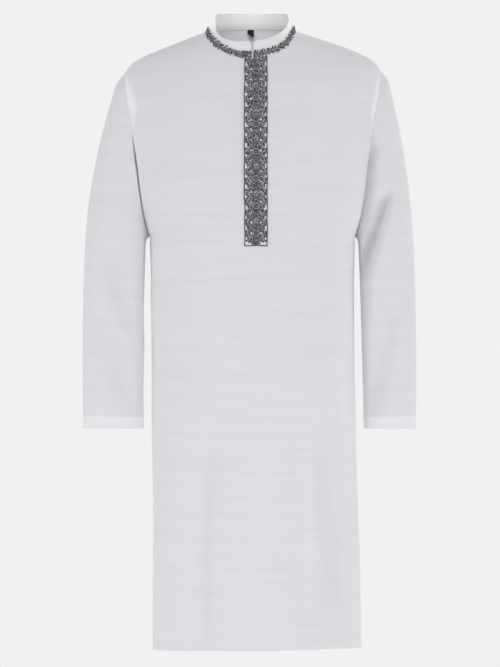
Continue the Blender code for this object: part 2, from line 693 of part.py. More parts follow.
def make_collar(front, back):
    pairs = neck_columns(front.outer.shape[1], back.outer.shape[1])
    seam = end_columns(neck_line(front.outer, back.outer, pairs))
    collar = Cloth(collar_grid(seam, collar_top(seam)))
    panels = end_columns(neck_line(front.normals, back.normals, pairs))
    shared = unit(unit(panels) + collar.own[0])
    collar.normals[0] = shared
    extra = (len(seam) - len(pairs)) // 2
    own_columns = [0] + list(range(1 + extra, len(seam) - 1 - extra)) + [len(seam) - 1]
    write_neck(shared[own_columns], front.normals, back.normals, pairs)
    collar.outer[0] = step_off(seam, collar.outer[1], shared, closed=False)
    return collar


def hemmed(cloth):
    """Wall thickness over a panel: its hem and the edges of its side slits are turned in."""
    thickness = np.full(cloth.outer.shape[:2], WALL)
    thickness[:2] = HEM_WALL
    slit = cloth.outer[:, 0, 2] < SLIT_TOP_Z
    thickness[slit, 0] = HEM_WALL
    thickness[slit, -1] = HEM_WALL
    return thickness


def slit_cells(front):
    """Cells of the front that the neck opening cuts away."""
    middle = front.outer.shape[1] // 2
    heights = front.outer[:-1, middle, 2]
    return [(row, middle - 1) for row in np.flatnonzero(heights > SLIT_BOTTOM_Z)]


def strip_between(cloth, left_x, right_x, low_z, top_row):
    """The block of a panel's grid between two columns, from a level up to a row."""
    middle = cloth.outer[-1, :, 0]
    columns = np.flatnonzero((middle > left_x - MM / 10) & (middle < right_x + MM / 10))
    heights = cloth.outer[:, columns[0], 2]
    rows = np.flatnonzero(heights > low_z - MM)
    rows = rows[rows <= len(heights) + top_row]
    return np.ix_(rows, columns)


def placket_mesh(front):
    """The folded strip that lies on the front over its opening."""
    block = strip_between(front, PLACKET_RIGHT_X, PLACKET_LEFT_X, PLACKET_BOTTOM_Z, -1)
    face = front.raised(TRIM_GAP + TRIM_WALL)[block]
    return wall_mesh("placket", face, front.raised(TRIM_GAP)[block]), face, front.normals[block]


def under_placket_mesh(front, front_inner):
    """The plain strip behind the opening."""
    block = strip_between(front, UNDER_RIGHT_X, UNDER_LEFT_X, UNDER_BOTTOM_Z, -2)
    normals = front.normals[block]
    face = front_inner[block] - normals * TRIM_GAP
    return wall_mesh("placket_under", face, face - normals * TRIM_WALL)


def placket_relief(x, z):
    """Height of the thread work: cord border, leaf scrolls, centre column and medallions."""
    middle = (PLACKET_LEFT_X + PLACKET_RIGHT_X) / 2
    half = (PLACKET_LEFT_X - PLACKET_RIGHT_X) / 2
    across = x - middle
    edge = np.minimum(half - np.abs(across), z - PLACKET_BOTTOM_Z)
    scroll = 0.5 + 0.5 * np.cos(2 * math.pi * (z / LEAF_PITCH + 0.25 * np.sign(across)))
    relief = GROUND_RISE + (LEAF_RISE - GROUND_RISE) * scroll
    phase = (z - FIRST_MEDALLION_Z) / MEDALLION_PITCH
    from_medallion = np.abs(phase - np.round(phase)) * MEDALLION_PITCH
    boss = np.clip((MEDALLION_REACH - from_medallion) / MEDALLION_SLOPE, 0, 1)
    spine = GROUND_RISE + (MEDALLION_RISE - GROUND_RISE) * boss
    relief = np.where(np.abs(across) < CENTRE_HALF / 2, spine, relief)
    relief = np.where(np.abs(np.abs(across) - CENTRE_HALF) < MM, LEAF_RISE, relief)
    relief = np.where(edge < BORDER_WIDTH + EDGE_INSET, GROUND_RISE, relief)
    return np.where(np.abs(edge - BORDER_WIDTH / 2) < BORDER_WIDTH / 4, BORDER_RISE, relief)


def placket_embroidery_mesh(face, normals):
    """Raised thread work on the placket's outer face."""
    middle = (PLACKET_LEFT_X + PLACKET_RIGHT_X) / 2
    half = (PLACKET_LEFT_X - PLACKET_RIGHT_X) / 2
    leaf_line = (CENTRE_HALF + half) / 2
    steps = np.array([0.0, CENTRE_HALF, leaf_line, half - BORDER_WIDTH - EDGE_INSET])
    rim = half - EDGE_INSET - np.array([BORDER_WIDTH / 2, 0])
    side = np.concatenate([steps[1:], rim])
    x = middle + np.concatenate([-side[::-1], steps[:1], side])
    low = face[0, 0, 2] + EDGE_INSET
    high = face[-1, 0, 2]
    body = np.linspace(low + BORDER_WIDTH, high, EMBROIDERY_ROWS)
    z = np.concatenate([[low, low + BORDER_WIDTH / 2], body])
    rows = np.interp(z, face[:, 0, 2], np.arange(len(face)))
    columns = np.interp(x, face[-1, :, 0], np.arange(face.shape[1]))
    base = sample(face, rows, columns)
    outward = unit(sample(normals, rows, columns))
    relief = placket_relief(x[None, :], z[:, None])
    return wall_mesh(
        "placket_embroidery",
        base + outward * (TRIM_GAP + relief)[..., None],
        base + outward * TRIM_GAP,
    )


def neck_embroidery_mesh(collar):
    """Raised leaf garland round the lower part of the collar, with a scalloped edge."""
    last = collar.outer.shape[1] - 1
    foot = collar.outer[0]
    run = np.concatenate([[0], np.cumsum(np.linalg.norm(np.diff(foot, axis=0), axis=1))])
    columns = np.interp(np.linspace(0, run[-1], GARLAND_COLUMNS), run, np.arange(last + 1))
    band = np.linalg.norm(collar.outer[-1] - foot, axis=-1)
    height = np.interp(columns, np.arange(last + 1), band)
    leaf = (np.arange(GARLAND_COLUMNS) % 2) * 2 - 1
    lines = (
        (GARLAND_FOOT + GARLAND_SCALLOP * (1 - leaf) / 4, GARLAND_EDGE_RISE + 0 * leaf),
        (GARLAND_HEIGHT / 2 + 0 * leaf, GARLAND_RISE + GARLAND_LEAF_RISE * leaf),
        (GARLAND_HEIGHT + GARLAND_SCALLOP * leaf / 2, GARLAND_EDGE_RISE + 0 * leaf),
    )
    outer = []
    inner = []
    for above_seam, rise in lines:
        rows = above_seam / height * COLLAR_ROWS
        base = along(collar.outer, rows, columns)
        away = unit(along(collar.own, rows, columns))
        outer.append(base + away * (GARLAND_GAP + rise)[:, None])
        inner.append(base + away * GARLAND_GAP)
    return wall_mesh("neck_embroidery", np.array(outer), np.array(inner))


def label_mesh(back, back_inner):
    """A blank tab that hangs from the back neck seam, inside."""
    middle = back.outer.shape[1] // 2
    seam = back_inner[-1, middle]
    near = seam[1] - LABEL_GAP
    top = seam[2] - SEAM_GAP
    low_left = top - LABEL_DROP
    low_right = low_left + LABEL_SLANT
    face = np.array(
        [
            [[LABEL_RIGHT_X, near, low_right], [LABEL_LEFT_X, near, low_left]],
            [[LABEL_RIGHT_X, near, top], [LABEL_LEFT_X, near, top]],
        ]
    )
    return wall_mesh("label", face - np.array([0, LABEL_WALL, 0]), face)


def clear_scene():
    for old in list(bpy.data.objects):
        bpy.data.objects.remove(old)


def main():
    clear_scene()
    tunic = bpy.data.objects.new("tunic", None)
    bpy.context.scene.collection.objects.link(tunic)
    cloth = material("white_slub_cloth", CLOTH, 0.85)
    thread = material("grey_embroidery_thread", THREAD, 0.55)
    tape = material("black_label_tape", BLACK, 0.7)

    front = Cloth(panel_grid(FRONT, FRONT_FOLDS))
    back = Cloth(panel_grid(BACK, BACK_FOLDS), flip=True)
    join_panels(front, back)
    sleeve_left = make_sleeve(
        front, back, SLEEVE_LEFT, 1, SLEEVE_LEFT_FRONT_FOLDS, SLEEVE_LEFT_BACK_FOLDS
    )
    sleeve_right = make_sleeve(
        front, back, SLEEVE_RIGHT, -1, SLEEVE_RIGHT_FRONT_FOLDS, SLEEVE_RIGHT_BACK_FOLDS
    )
    collar = make_collar(front, back)
    cuffed = np.full(sleeve_left.outer.shape[:2], WALL)
    cuffed[-2:] = HEM_WALL
    placket, placket_face, placket_normals = placket_mesh(front)
    front_inner = front.inner(hemmed(front))

    add_piece(tunic, front.mesh("front", hemmed(front), slit_cells(front)), cloth)
    add_piece(tunic, back.mesh("back", hemmed(back)), cloth)
    add_piece(tunic, sleeve_left.mesh("sleeve_left", cuffed), cloth)
    add_piece(tunic, sleeve_right.mesh("sleeve_right", cuffed), cloth)
    add_piece(tunic, collar.mesh("collar", COLLAR_WALL), cloth)
    add_piece(tunic, placket, cloth)
    add_piece(tunic, under_placket_mesh(front, front_inner), cloth)
    add_piece(tunic, placket_embroidery_mesh(placket_face, placket_normals), thread)
    add_piece(tunic, neck_embroidery_mesh(collar), thread)
    add_piece(tunic, label_mesh(back, back.inner(hemmed(back))), tape)


main()
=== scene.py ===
"""Looks of a long white kurta tunic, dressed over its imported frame.

Each cloth piece is a thin shell laid on its solid's own form at a finer step, with the soft
creases of worn cloth. Embroidery, stitches and cords are raised thread over it. Everything is
in metres in the frame of the solids: +Z up, the front faces -Y, the wearer's left is +X.
"""

from __future__ import annotations

import logging
import math
from dataclasses import dataclass, field
from enum import Enum
from typing import NamedTuple

import bpy
import numpy as np
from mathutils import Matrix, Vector

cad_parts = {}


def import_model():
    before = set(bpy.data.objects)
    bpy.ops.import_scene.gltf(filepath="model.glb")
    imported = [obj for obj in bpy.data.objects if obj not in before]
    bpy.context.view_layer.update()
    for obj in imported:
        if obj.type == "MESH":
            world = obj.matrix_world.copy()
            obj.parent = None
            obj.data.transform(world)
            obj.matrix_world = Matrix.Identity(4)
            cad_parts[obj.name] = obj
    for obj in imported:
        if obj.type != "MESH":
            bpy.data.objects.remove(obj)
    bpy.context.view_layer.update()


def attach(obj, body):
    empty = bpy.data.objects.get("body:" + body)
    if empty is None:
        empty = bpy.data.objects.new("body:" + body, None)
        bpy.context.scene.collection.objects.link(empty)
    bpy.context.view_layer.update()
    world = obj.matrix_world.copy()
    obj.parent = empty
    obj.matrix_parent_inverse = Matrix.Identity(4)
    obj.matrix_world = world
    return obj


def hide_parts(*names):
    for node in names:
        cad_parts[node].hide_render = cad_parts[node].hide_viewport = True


LOG = logging.getLogger("kurta")
MM = 0.001
BODY_NAME = "root"


# --- Sizes shared by the pieces ---


class Level(NamedTuple):
    """One level of the body tube."""

    z: float
    half_width: float
    centre: float
    front: float
    back: float


class SeamPoint(NamedTuple):
    """Where the armhole seam runs at a share of the height above the armpit."""

    rise: float
    x: float


class RidgePoint(NamedTuple):
    """A point of the shoulder line."""

    x: float
    z: float


class Ring(NamedTuple):
    """One section of a sleeve, from the shoulder (0) to the hem (1)."""

    at: float
    out_x: float
    out_z: float
    in_x: float
    in_z: float
    depth: float
    middle_y: float


class Fold(NamedTuple):
    """A soft trough (positive depth) or ridge (negative) between two points of the front view.

    Its side towards +X may be steeper: the half width there is the given share of the other's.
    """

    x_top: float
    z_top: float
    x_low: float
    z_low: float
    depth: float
    half_width: float
    bow: float = 0.0
    left_share: float = 1.0


BODY = (
    Level(-1.061, 0.1800, 0.0078, 0.100, 0.098),
    Level(-0.930, 0.1790, 0.0070, 0.102, 0.099),
    Level(-0.790, 0.1770, 0.0048, 0.106, 0.101),
    Level(-0.690, 0.1765, 0.0024, 0.110, 0.103),
    Level(-0.560, 0.1752, 0.0010, 0.113, 0.105),
    Level(-0.420, 0.1758, 0.0000, 0.117, 0.109),
    Level(-0.353, 0.1775, 0.0000, 0.118, 0.112),
    Level(-0.240, 0.1775, 0.0000, 0.119, 0.117),
    Level(-0.120, 0.1775, 0.0000, 0.118, 0.119),
    Level(0.000, 0.1775, 0.0000, 0.118, 0.118),
)

ARMHOLE_SEAM = (
    SeamPoint(rise=0.00, x=0.1775),
    SeamPoint(rise=0.09, x=0.1840),
    SeamPoint(rise=0.28, x=0.1925),
    SeamPoint(rise=0.41, x=0.1965),
    SeamPoint(rise=0.66, x=0.2070),
    SeamPoint(rise=0.83, x=0.2150),
    SeamPoint(rise=1.00, x=0.2220),
)

SHOULDER_LINE = (
    RidgePoint(x=0.080, z=0.0010),
    RidgePoint(x=0.095, z=-0.0040),
    RidgePoint(x=0.120, z=-0.0140),
    RidgePoint(x=0.156, z=-0.0277),
    RidgePoint(x=0.191, z=-0.0425),
    RidgePoint(x=0.210, z=-0.0545),
    RidgePoint(x=0.222, z=-0.0705),
)

SLEEVE_RIGHT = (
    Ring(0.00, 0.2220, -0.0705, 0.1790, -0.353, 0.060, 0.002),
    Ring(0.08, 0.2345, -0.0880, 0.1835, -0.359, 0.061, 0.002),
    Ring(0.16, 0.2460, -0.1260, 0.1850, -0.366, 0.062, 0.001),
    Ring(0.25, 0.2585, -0.1720, 0.1855, -0.378, 0.062, 0.000),
    Ring(0.35, 0.2735, -0.2390, 0.1860, -0.398, 0.061, -0.001),
    Ring(0.46, 0.2860, -0.3240, 0.1868, -0.432, 0.058, -0.003),
    Ring(0.57, 0.2910, -0.4120, 0.1880, -0.482, 0.052, -0.006),
    Ring(0.70, 0.2930, -0.5060, 0.1868, -0.541, 0.045, -0.009),
    Ring(0.85, 0.2930, -0.5980, 0.1880, -0.610, 0.038, -0.012),
    Ring(1.00, 0.2920, -0.6850, 0.1876, -0.685, 0.033, -0.014),
)
SLEEVE_LEFT = (
    Ring(0.00, 0.2220, -0.0705, 0.1790, -0.353, 0.060, 0.002),
    Ring(0.08, 0.2345, -0.0860, 0.1820, -0.359, 0.061, 0.002),
    Ring(0.16, 0.2450, -0.1260, 0.1830, -0.366, 0.062, 0.001),
    Ring(0.25, 0.2560, -0.1780, 0.1838, -0.378, 0.063, 0.000),
    Ring(0.35, 0.2670, -0.2450, 0.1846, -0.398, 0.063, -0.001),
    Ring(0.46, 0.2755, -0.3240, 0.1858, -0.432, 0.062, -0.003),
    Ring(0.57, 0.2805, -0.4120, 0.1872, -0.482, 0.058, -0.006),
    Ring(0.70, 0.2825, -0.5060, 0.1886, -0.541, 0.052, -0.009),
    Ring(0.85, 0.2832, -0.5980, 0.1905, -0.610, 0.046, -0.012),
    Ring(1.00, 0.2820, -0.6850, 0.1920, -0.685, 0.041, -0.014),
)

# The large folds that the solids have too; the finer creases of the cloth stand with the pieces.
FRONT_FOLDS = (
    Fold(-0.066, -0.640, -0.074, -1.080, 0.0050, 0.017),
    Fold(0.108, -0.740, 0.116, -1.080, 0.0048, 0.019),
    Fold(0.034, -0.620, 0.036, -1.080, -0.0035, 0.022),
    Fold(-0.152, -0.560, -0.150, -0.820, 0.0040, 0.014),
    Fold(-0.205, -0.090, -0.192, -0.170, -0.0030, 0.012),
    Fold(0.208, -0.080, 0.200, -0.150, -0.0025, 0.010),
)
BACK_FOLDS = (
    Fold(0.070, -0.600, 0.078, -1.080, 0.0050, 0.018),
    Fold(-0.095, -0.690, -0.104, -1.080, 0.0046, 0.018),
    Fold(-0.020, -0.560, -0.012, -1.080, -0.0035, 0.024),
    Fold(0.150, -0.400, 0.120, -0.560, 0.0035, 0.016),
    Fold(-0.150, -0.400, -0.128, -0.540, 0.0030, 0.016),
)
SLEEVE_LEFT_FRONT_FOLDS = (
    Fold(0.226, -0.300, 0.190, -0.400, 0.0075, 0.011),
    Fold(0.232, -0.360, 0.198, -0.470, -0.0035, 0.014),
    Fold(0.240, -0.470, 0.208, -0.670, 0.0040, 0.014),
)
SLEEVE_RIGHT_FRONT_FOLDS = (
    Fold(-0.236, -0.400, -0.208, -0.520, 0.0042, 0.013),
    Fold(-0.258, -0.500, -0.216, -0.630, 0.0040, 0.013),
)
SLEEVE_LEFT_BACK_FOLDS = (
    Fold(0.232, -0.270, 0.192, -0.390, 0.0060, 0.013),
    Fold(0.250, -0.430, 0.212, -0.560, 0.0040, 0.015),
)
SLEEVE_RIGHT_BACK_FOLDS = (
    Fold(-0.236, -0.260, -0.192, -0.380, 0.0060, 0.013),
    Fold(-0.244, -0.460, -0.210, -0.600, 0.0042, 0.015),
)

Array = np.ndarray
Material = bpy.types.Material
Mesh = bpy.types.Mesh
Node = bpy.types.Node
Object = bpy.types.Object
Socket = bpy.types.NodeSocket
Tree = bpy.types.NodeTree
TINY = 1e-12
# A fold starts and ends softly: it runs on by the first share of its length and fades over the second.
FOLD_OVERRUN = 0.1
FOLD_FADE = 0.3
# The least share of a wall's thickness that a mitred edge keeps square to the cloth.
LEAST_LEAN = 0.62
# Rows at these distances from a turned band's stitch line give it a crisp edge.
BAND_STEPS_MM = (-1.6, -0.6, 0.0, 0.6, 1.6)
# Edges sharper than this show.
SHARP_DEGREES = 40.0


@dataclass(frozen=True)
class Garment:
    """Driving sizes of the whole garment, in metres."""

    hem_z: float = -1.061
    slit_top_z: float = -0.790
    armpit_z: float = -0.353
    hem_slant: float = 0.002
    hem_corner_drop: float = -0.002
    slit_gape: float = 0.013
    shoulder_half: float = 0.222
    shoulder_tilt: float = 0.0025
    neck_half: float = 0.080
    neck_squareness: float = 3.0
    squareness: float = 2.5
    armhole_squareness: float = 2.05
    armhole_reach: float = 6.0
    wall: float = 0.0011
    seam_gap: float = 0.00012
    hem_band: float = 0.012
    slit_half: float = 0.0015
    slit_bottom_z: float = -0.308
    placket_right_x: float = -0.0139
    placket_left_x: float = 0.0257
    placket_bottom_z: float = -0.3742
    placket_fold_x: tuple[float, ...] = (0.0153, 0.0163, 0.0171, 0.0179, 0.0189)


SIZES = Garment()


def smooth(rows: tuple, key: str, value: str, at: Array | float) -> Array:
    """Reads one column of a table at any place along another by a monotone cubic.

    Args:
        rows: The table.
        key: Name of the column that the place is given in.
        value: Name of the column to read.
        at: The place or places.

    Returns:
        The value at each place.
    """
    x = np.array([getattr(row, key) for row in rows])
    y = np.array([getattr(row, value) for row in rows])
    width = np.diff(x)
    slope = np.diff(y) / width
    tangent = np.zeros_like(y)
    same_way = slope[:-1] * slope[1:] > 0
    inner = np.zeros(len(slope) - 1)
    inner[same_way] = 2 / (1 / slope[:-1][same_way] + 1 / slope[1:][same_way])
    tangent[1:-1] = inner
    tangent[0] = slope[0]
    tangent[-1] = slope[-1]
    place = np.clip(np.asarray(at, float), x[0], x[-1])
    cell = np.clip(np.searchsorted(x, place, side="right") - 1, 0, len(slope) - 1)
    t = (place - x[cell]) / width[cell]
    return (
        y[cell] * (1 + 2 * t) * (1 - t) ** 2
        + y[cell + 1] * t * t * (3 - 2 * t)
        + width[cell] * t * (1 - t) * (tangent[cell] * (1 - t) - tangent[cell + 1] * t)
    )


def unit(vectors: Array) -> Array:
    """Vectors scaled to length 1."""
    return vectors / np.maximum(np.linalg.norm(vectors, axis=-1, keepdims=True), TINY)


def run_along(points: Array) -> Array:
    """Distance of each point of a line from its start, along it."""
    return np.concatenate([[0], np.cumsum(np.linalg.norm(np.diff(points, axis=0), axis=1))])


def read_line(at: Array, run: Array, line: Array) -> Array:
    """Points or directions of a line at places along it."""
    return np.stack([np.interp(at, run, line[:, i]) for i in range(3)], axis=-1)


def lame(ratio: Array, power: float | Array = SIZES.squareness) -> Array:
    """Height of a squared ellipse of height 1 at this share of its half width."""
    return np.maximum(1 - np.abs(ratio) ** power, 0) ** (1 / power)


def ease(share: Array) -> Array:
    """A soft step from 0 to 1."""
    held = np.clip(share, 0, 1)
    return held * held * (3 - 2 * held)


def fold_shift(folds: tuple[Fold, ...], x: Array, z: Array) -> Array:
    """How far the folds sink the cloth at each place of the front view.

    Args:
        folds: The troughs and ridges.
        x: Places across.
        z: Places up.

    Returns:
        The depth at each place, negative on a ridge.
    """
    shift = np.zeros(np.broadcast(x, z).shape)
    for fold in folds:
        run = np.array([fold.x_low - fold.x_top, fold.z_low - fold.z_top])
        length = np.linalg.norm(run)
        place = ((x - fold.x_top) * run[0] + (z - fold.z_top) * run[1]) / length**2
        across = ((x - fold.x_top) * run[1] - (z - fold.z_top) * run[0]) / length
        across = across - fold.bow * 4 * np.clip(place, 0, 1) * np.clip(1 - place, 0, 1)
        reach = ease((np.minimum(place, 1 - place) + FOLD_OVERRUN) / FOLD_FADE)
        half = np.where(across < 0, fold.half_width * fold.left_share, fold.half_width)
        shift += fold.depth * reach * np.exp(-((across / half) ** 2))
    return shift


def grid_normals(grid: Array, around: bool, flip: bool) -> Array:
    """Outward direction at each point of a grid, from the cells that meet there.

    Args:
        grid: Rows of columns of points.
        around: Whether the last column joins the first.
        flip: Whether the grid runs the other way about.

    Returns:
        A unit vector for each point.
    """
    total = np.zeros_like(grid)
    cells = np.roll(grid, -1, axis=1) if around else grid[:, 1:]
    near = grid if around else grid[:, :-1]
    across = unit(np.cross(cells[:-1] - near[1:], cells[1:] - near[:-1]))
    if flip:
        across = -across
    for rows in (slice(0, -1), slice(1, None)):
        if around:
            total[rows] += across + np.roll(across, 1, axis=1)
        else:
            total[rows, :-1] += across
            total[rows, 1:] += across
    return unit(total)


@dataclass
class Cloth:
    """A cloth piece as a grid of outer points, with the directions its wall is thickened along."""

    outer: Array
    around: bool = False
    flip: bool = False
    lengthwise: Array | None = None
    own: Array = field(init=False)
    normals: Array = field(init=False)

    def __post_init__(self) -> None:
        """Works out the outward directions."""
        self.own = grid_normals(self.outer, self.around, self.flip)
        self.normals = self.own.copy()

    def inner(self, thickness: Array | float) -> Array:
        """The wall's inner points; a mitred edge keeps the wall's own thickness."""
        lean = np.clip(np.sum(self.normals * self.own, axis=-1), LEAST_LEAN, 1)
        depth = np.broadcast_to(thickness, lean.shape) / lean
        return self.outer - self.normals * depth[..., None]

    def mesh(
        self,
        name: str,
        thickness: Array | float,
        cut: Array | None = None,
        layer_white_and_painted_shade: Array | float = 0.0,
        inside_white_and_painted_shade: Array | float | None = None,
    ) -> Mesh:
        """The closed wall as a mesh, with its flat layout in metres as a UV map.

        Args:
            name: Name of the mesh.
            thickness: Wall thickness, one value or one for each point.
            cut: For each cell, whether it is left out.
            layer_white_and_painted_shade: How far a second layer behind the cloth whitens it, from 0 to
                1; on the collar's darker cloth, a lift to white that leaves painted shade where it is
                low.
            inside_white_and_painted_shade: The same on the wall's inner side, where it differs; on the
                collar, painted shade inside the band.

        Returns:
            The mesh, with the whitening as its attribute "layers".
        """
        layout = flat_layout(self.outer, self.around, self.lengthwise)
        sides = (layer_white_and_painted_shade, layer_white_and_painted_shade if inside_white_and_painted_shade is None else inside_white_and_painted_shade)
        layer_white_and_painted_shade = np.stack([np.broadcast_to(side, self.outer.shape[:2]) for side in sides])
        walls = (self.outer, self.inner(thickness))
        return wall_mesh(name, walls, layout, layer_white_and_painted_shade, self.around, cut, self.flip)


def flat_layout(grid: Array, around: bool, lengthwise: Array | None) -> Array:
    """Distances across and along the cloth, measured from the middle column and the first row.

    Args:
        grid: Rows of columns of points.
        around: Whether the last column joins the first.
        lengthwise: Distance along the warp of each point, where it doesn't follow the rows.

    Returns:
        An array of rows by columns by 2, with one column more where the grid goes round.
    """
    closed = np.concatenate([grid, grid[:, :1]], axis=1) if around else grid
    steps = np.linalg.norm(np.diff(closed, axis=1), axis=-1)
    across = np.concatenate([np.zeros((len(grid), 1)), np.cumsum(steps, axis=1)], axis=1)
    across -= across[:, [across.shape[1] // 2]]
    if lengthwise is None:
        rises = np.linalg.norm(np.diff(closed, axis=0), axis=-1).mean(axis=1)
        lengthwise = np.concatenate([[0], np.cumsum(rises)])[:, None]
    elif around:
        lengthwise = np.concatenate([lengthwise, lengthwise[:, :1]], axis=1)
    return np.stack([across, np.broadcast_to(lengthwise, across.shape)], axis=-1)


def wall_mesh(
    name: str, walls: tuple, layout: Array, layer_white_and_painted_shade: Array, around: bool, cut: Array | None, flip: bool
) -> Mesh:
    """Closed mesh between two grids.

    Args:
        name: Name of the mesh.
        walls: Outer and inner points, rows of columns.
        layout: The cloth's flat layout.
        layer_white_and_painted_shade: For each outer, then each inner point, how far a second layer
            whitens the cloth; on the collar, a lift to white that leaves painted shade where it is low.
        around: Whether the last column joins the first.
        cut: For each cell, whether it is left out.
        flip: Whether the grid runs the other way about.

    Returns:
        The mesh, with the UV map "Layout".
    """
    outer, inner = walls
    rows, columns = outer.shape[:2]
    spans = columns if around else columns - 1
    keep = np.ones((rows - 1, spans), bool) if cut is None else ~cut
    r, c = np.nonzero(keep)
    after = (c + 1) % columns
    ring = np.stack([r * columns + c, r * columns + after], axis=1)
    ring = np.concatenate([ring, ring[:, ::-1] + columns], axis=1)
    corners = np.array([[r, r, r + 1, r + 1], [c, c + 1, c + 1, c]]).transpose(0, 2, 1)
    if flip:
        ring = ring[:, ::-1]
        corners = corners[:, :, ::-1]
    back = rows * columns
    starts = ring.reshape(-1)
    ends = np.roll(ring, -1, axis=1).reshape(-1)
    total = 2 * back
    single = ~np.isin(starts * total + ends, ends * total + starts)
    rim = np.stack([ends, starts, starts + back, ends + back], axis=1)[single]
    here = corners.reshape(2, -1)
    following = np.roll(corners, -1, axis=2).reshape(2, -1)
    rim_corners = np.stack([following, here, here, following], axis=2)[:, single]
    faces = np.concatenate([ring, ring[:, ::-1] + back, rim])
    face_corners = np.concatenate([corners, corners[:, :, ::-1], rim_corners], axis=1)
    points = np.concatenate([outer.reshape(-1, 3), inner.reshape(-1, 3)])
    used, faces = np.unique(faces, return_inverse=True)
    mesh = bpy.data.meshes.new(name)
    mesh.from_pydata(points[used].tolist(), [], faces.reshape(-1, 4).tolist())
    uv_map = mesh.uv_layers.new(name="Layout")
    uv = layout[tuple(face_corners.reshape(2, -1))]
    uv_map.data.foreach_set("uv", uv.reshape(-1).astype(np.float32))
    layers = layer_white_and_painted_shade.reshape(-1)[used].astype(np.float32)
    mesh.attributes.new("layers", "FLOAT", "POINT").data.foreach_set("value", layers)
    mesh.update()
    return mesh


# --- Forms of the cloth pieces ---


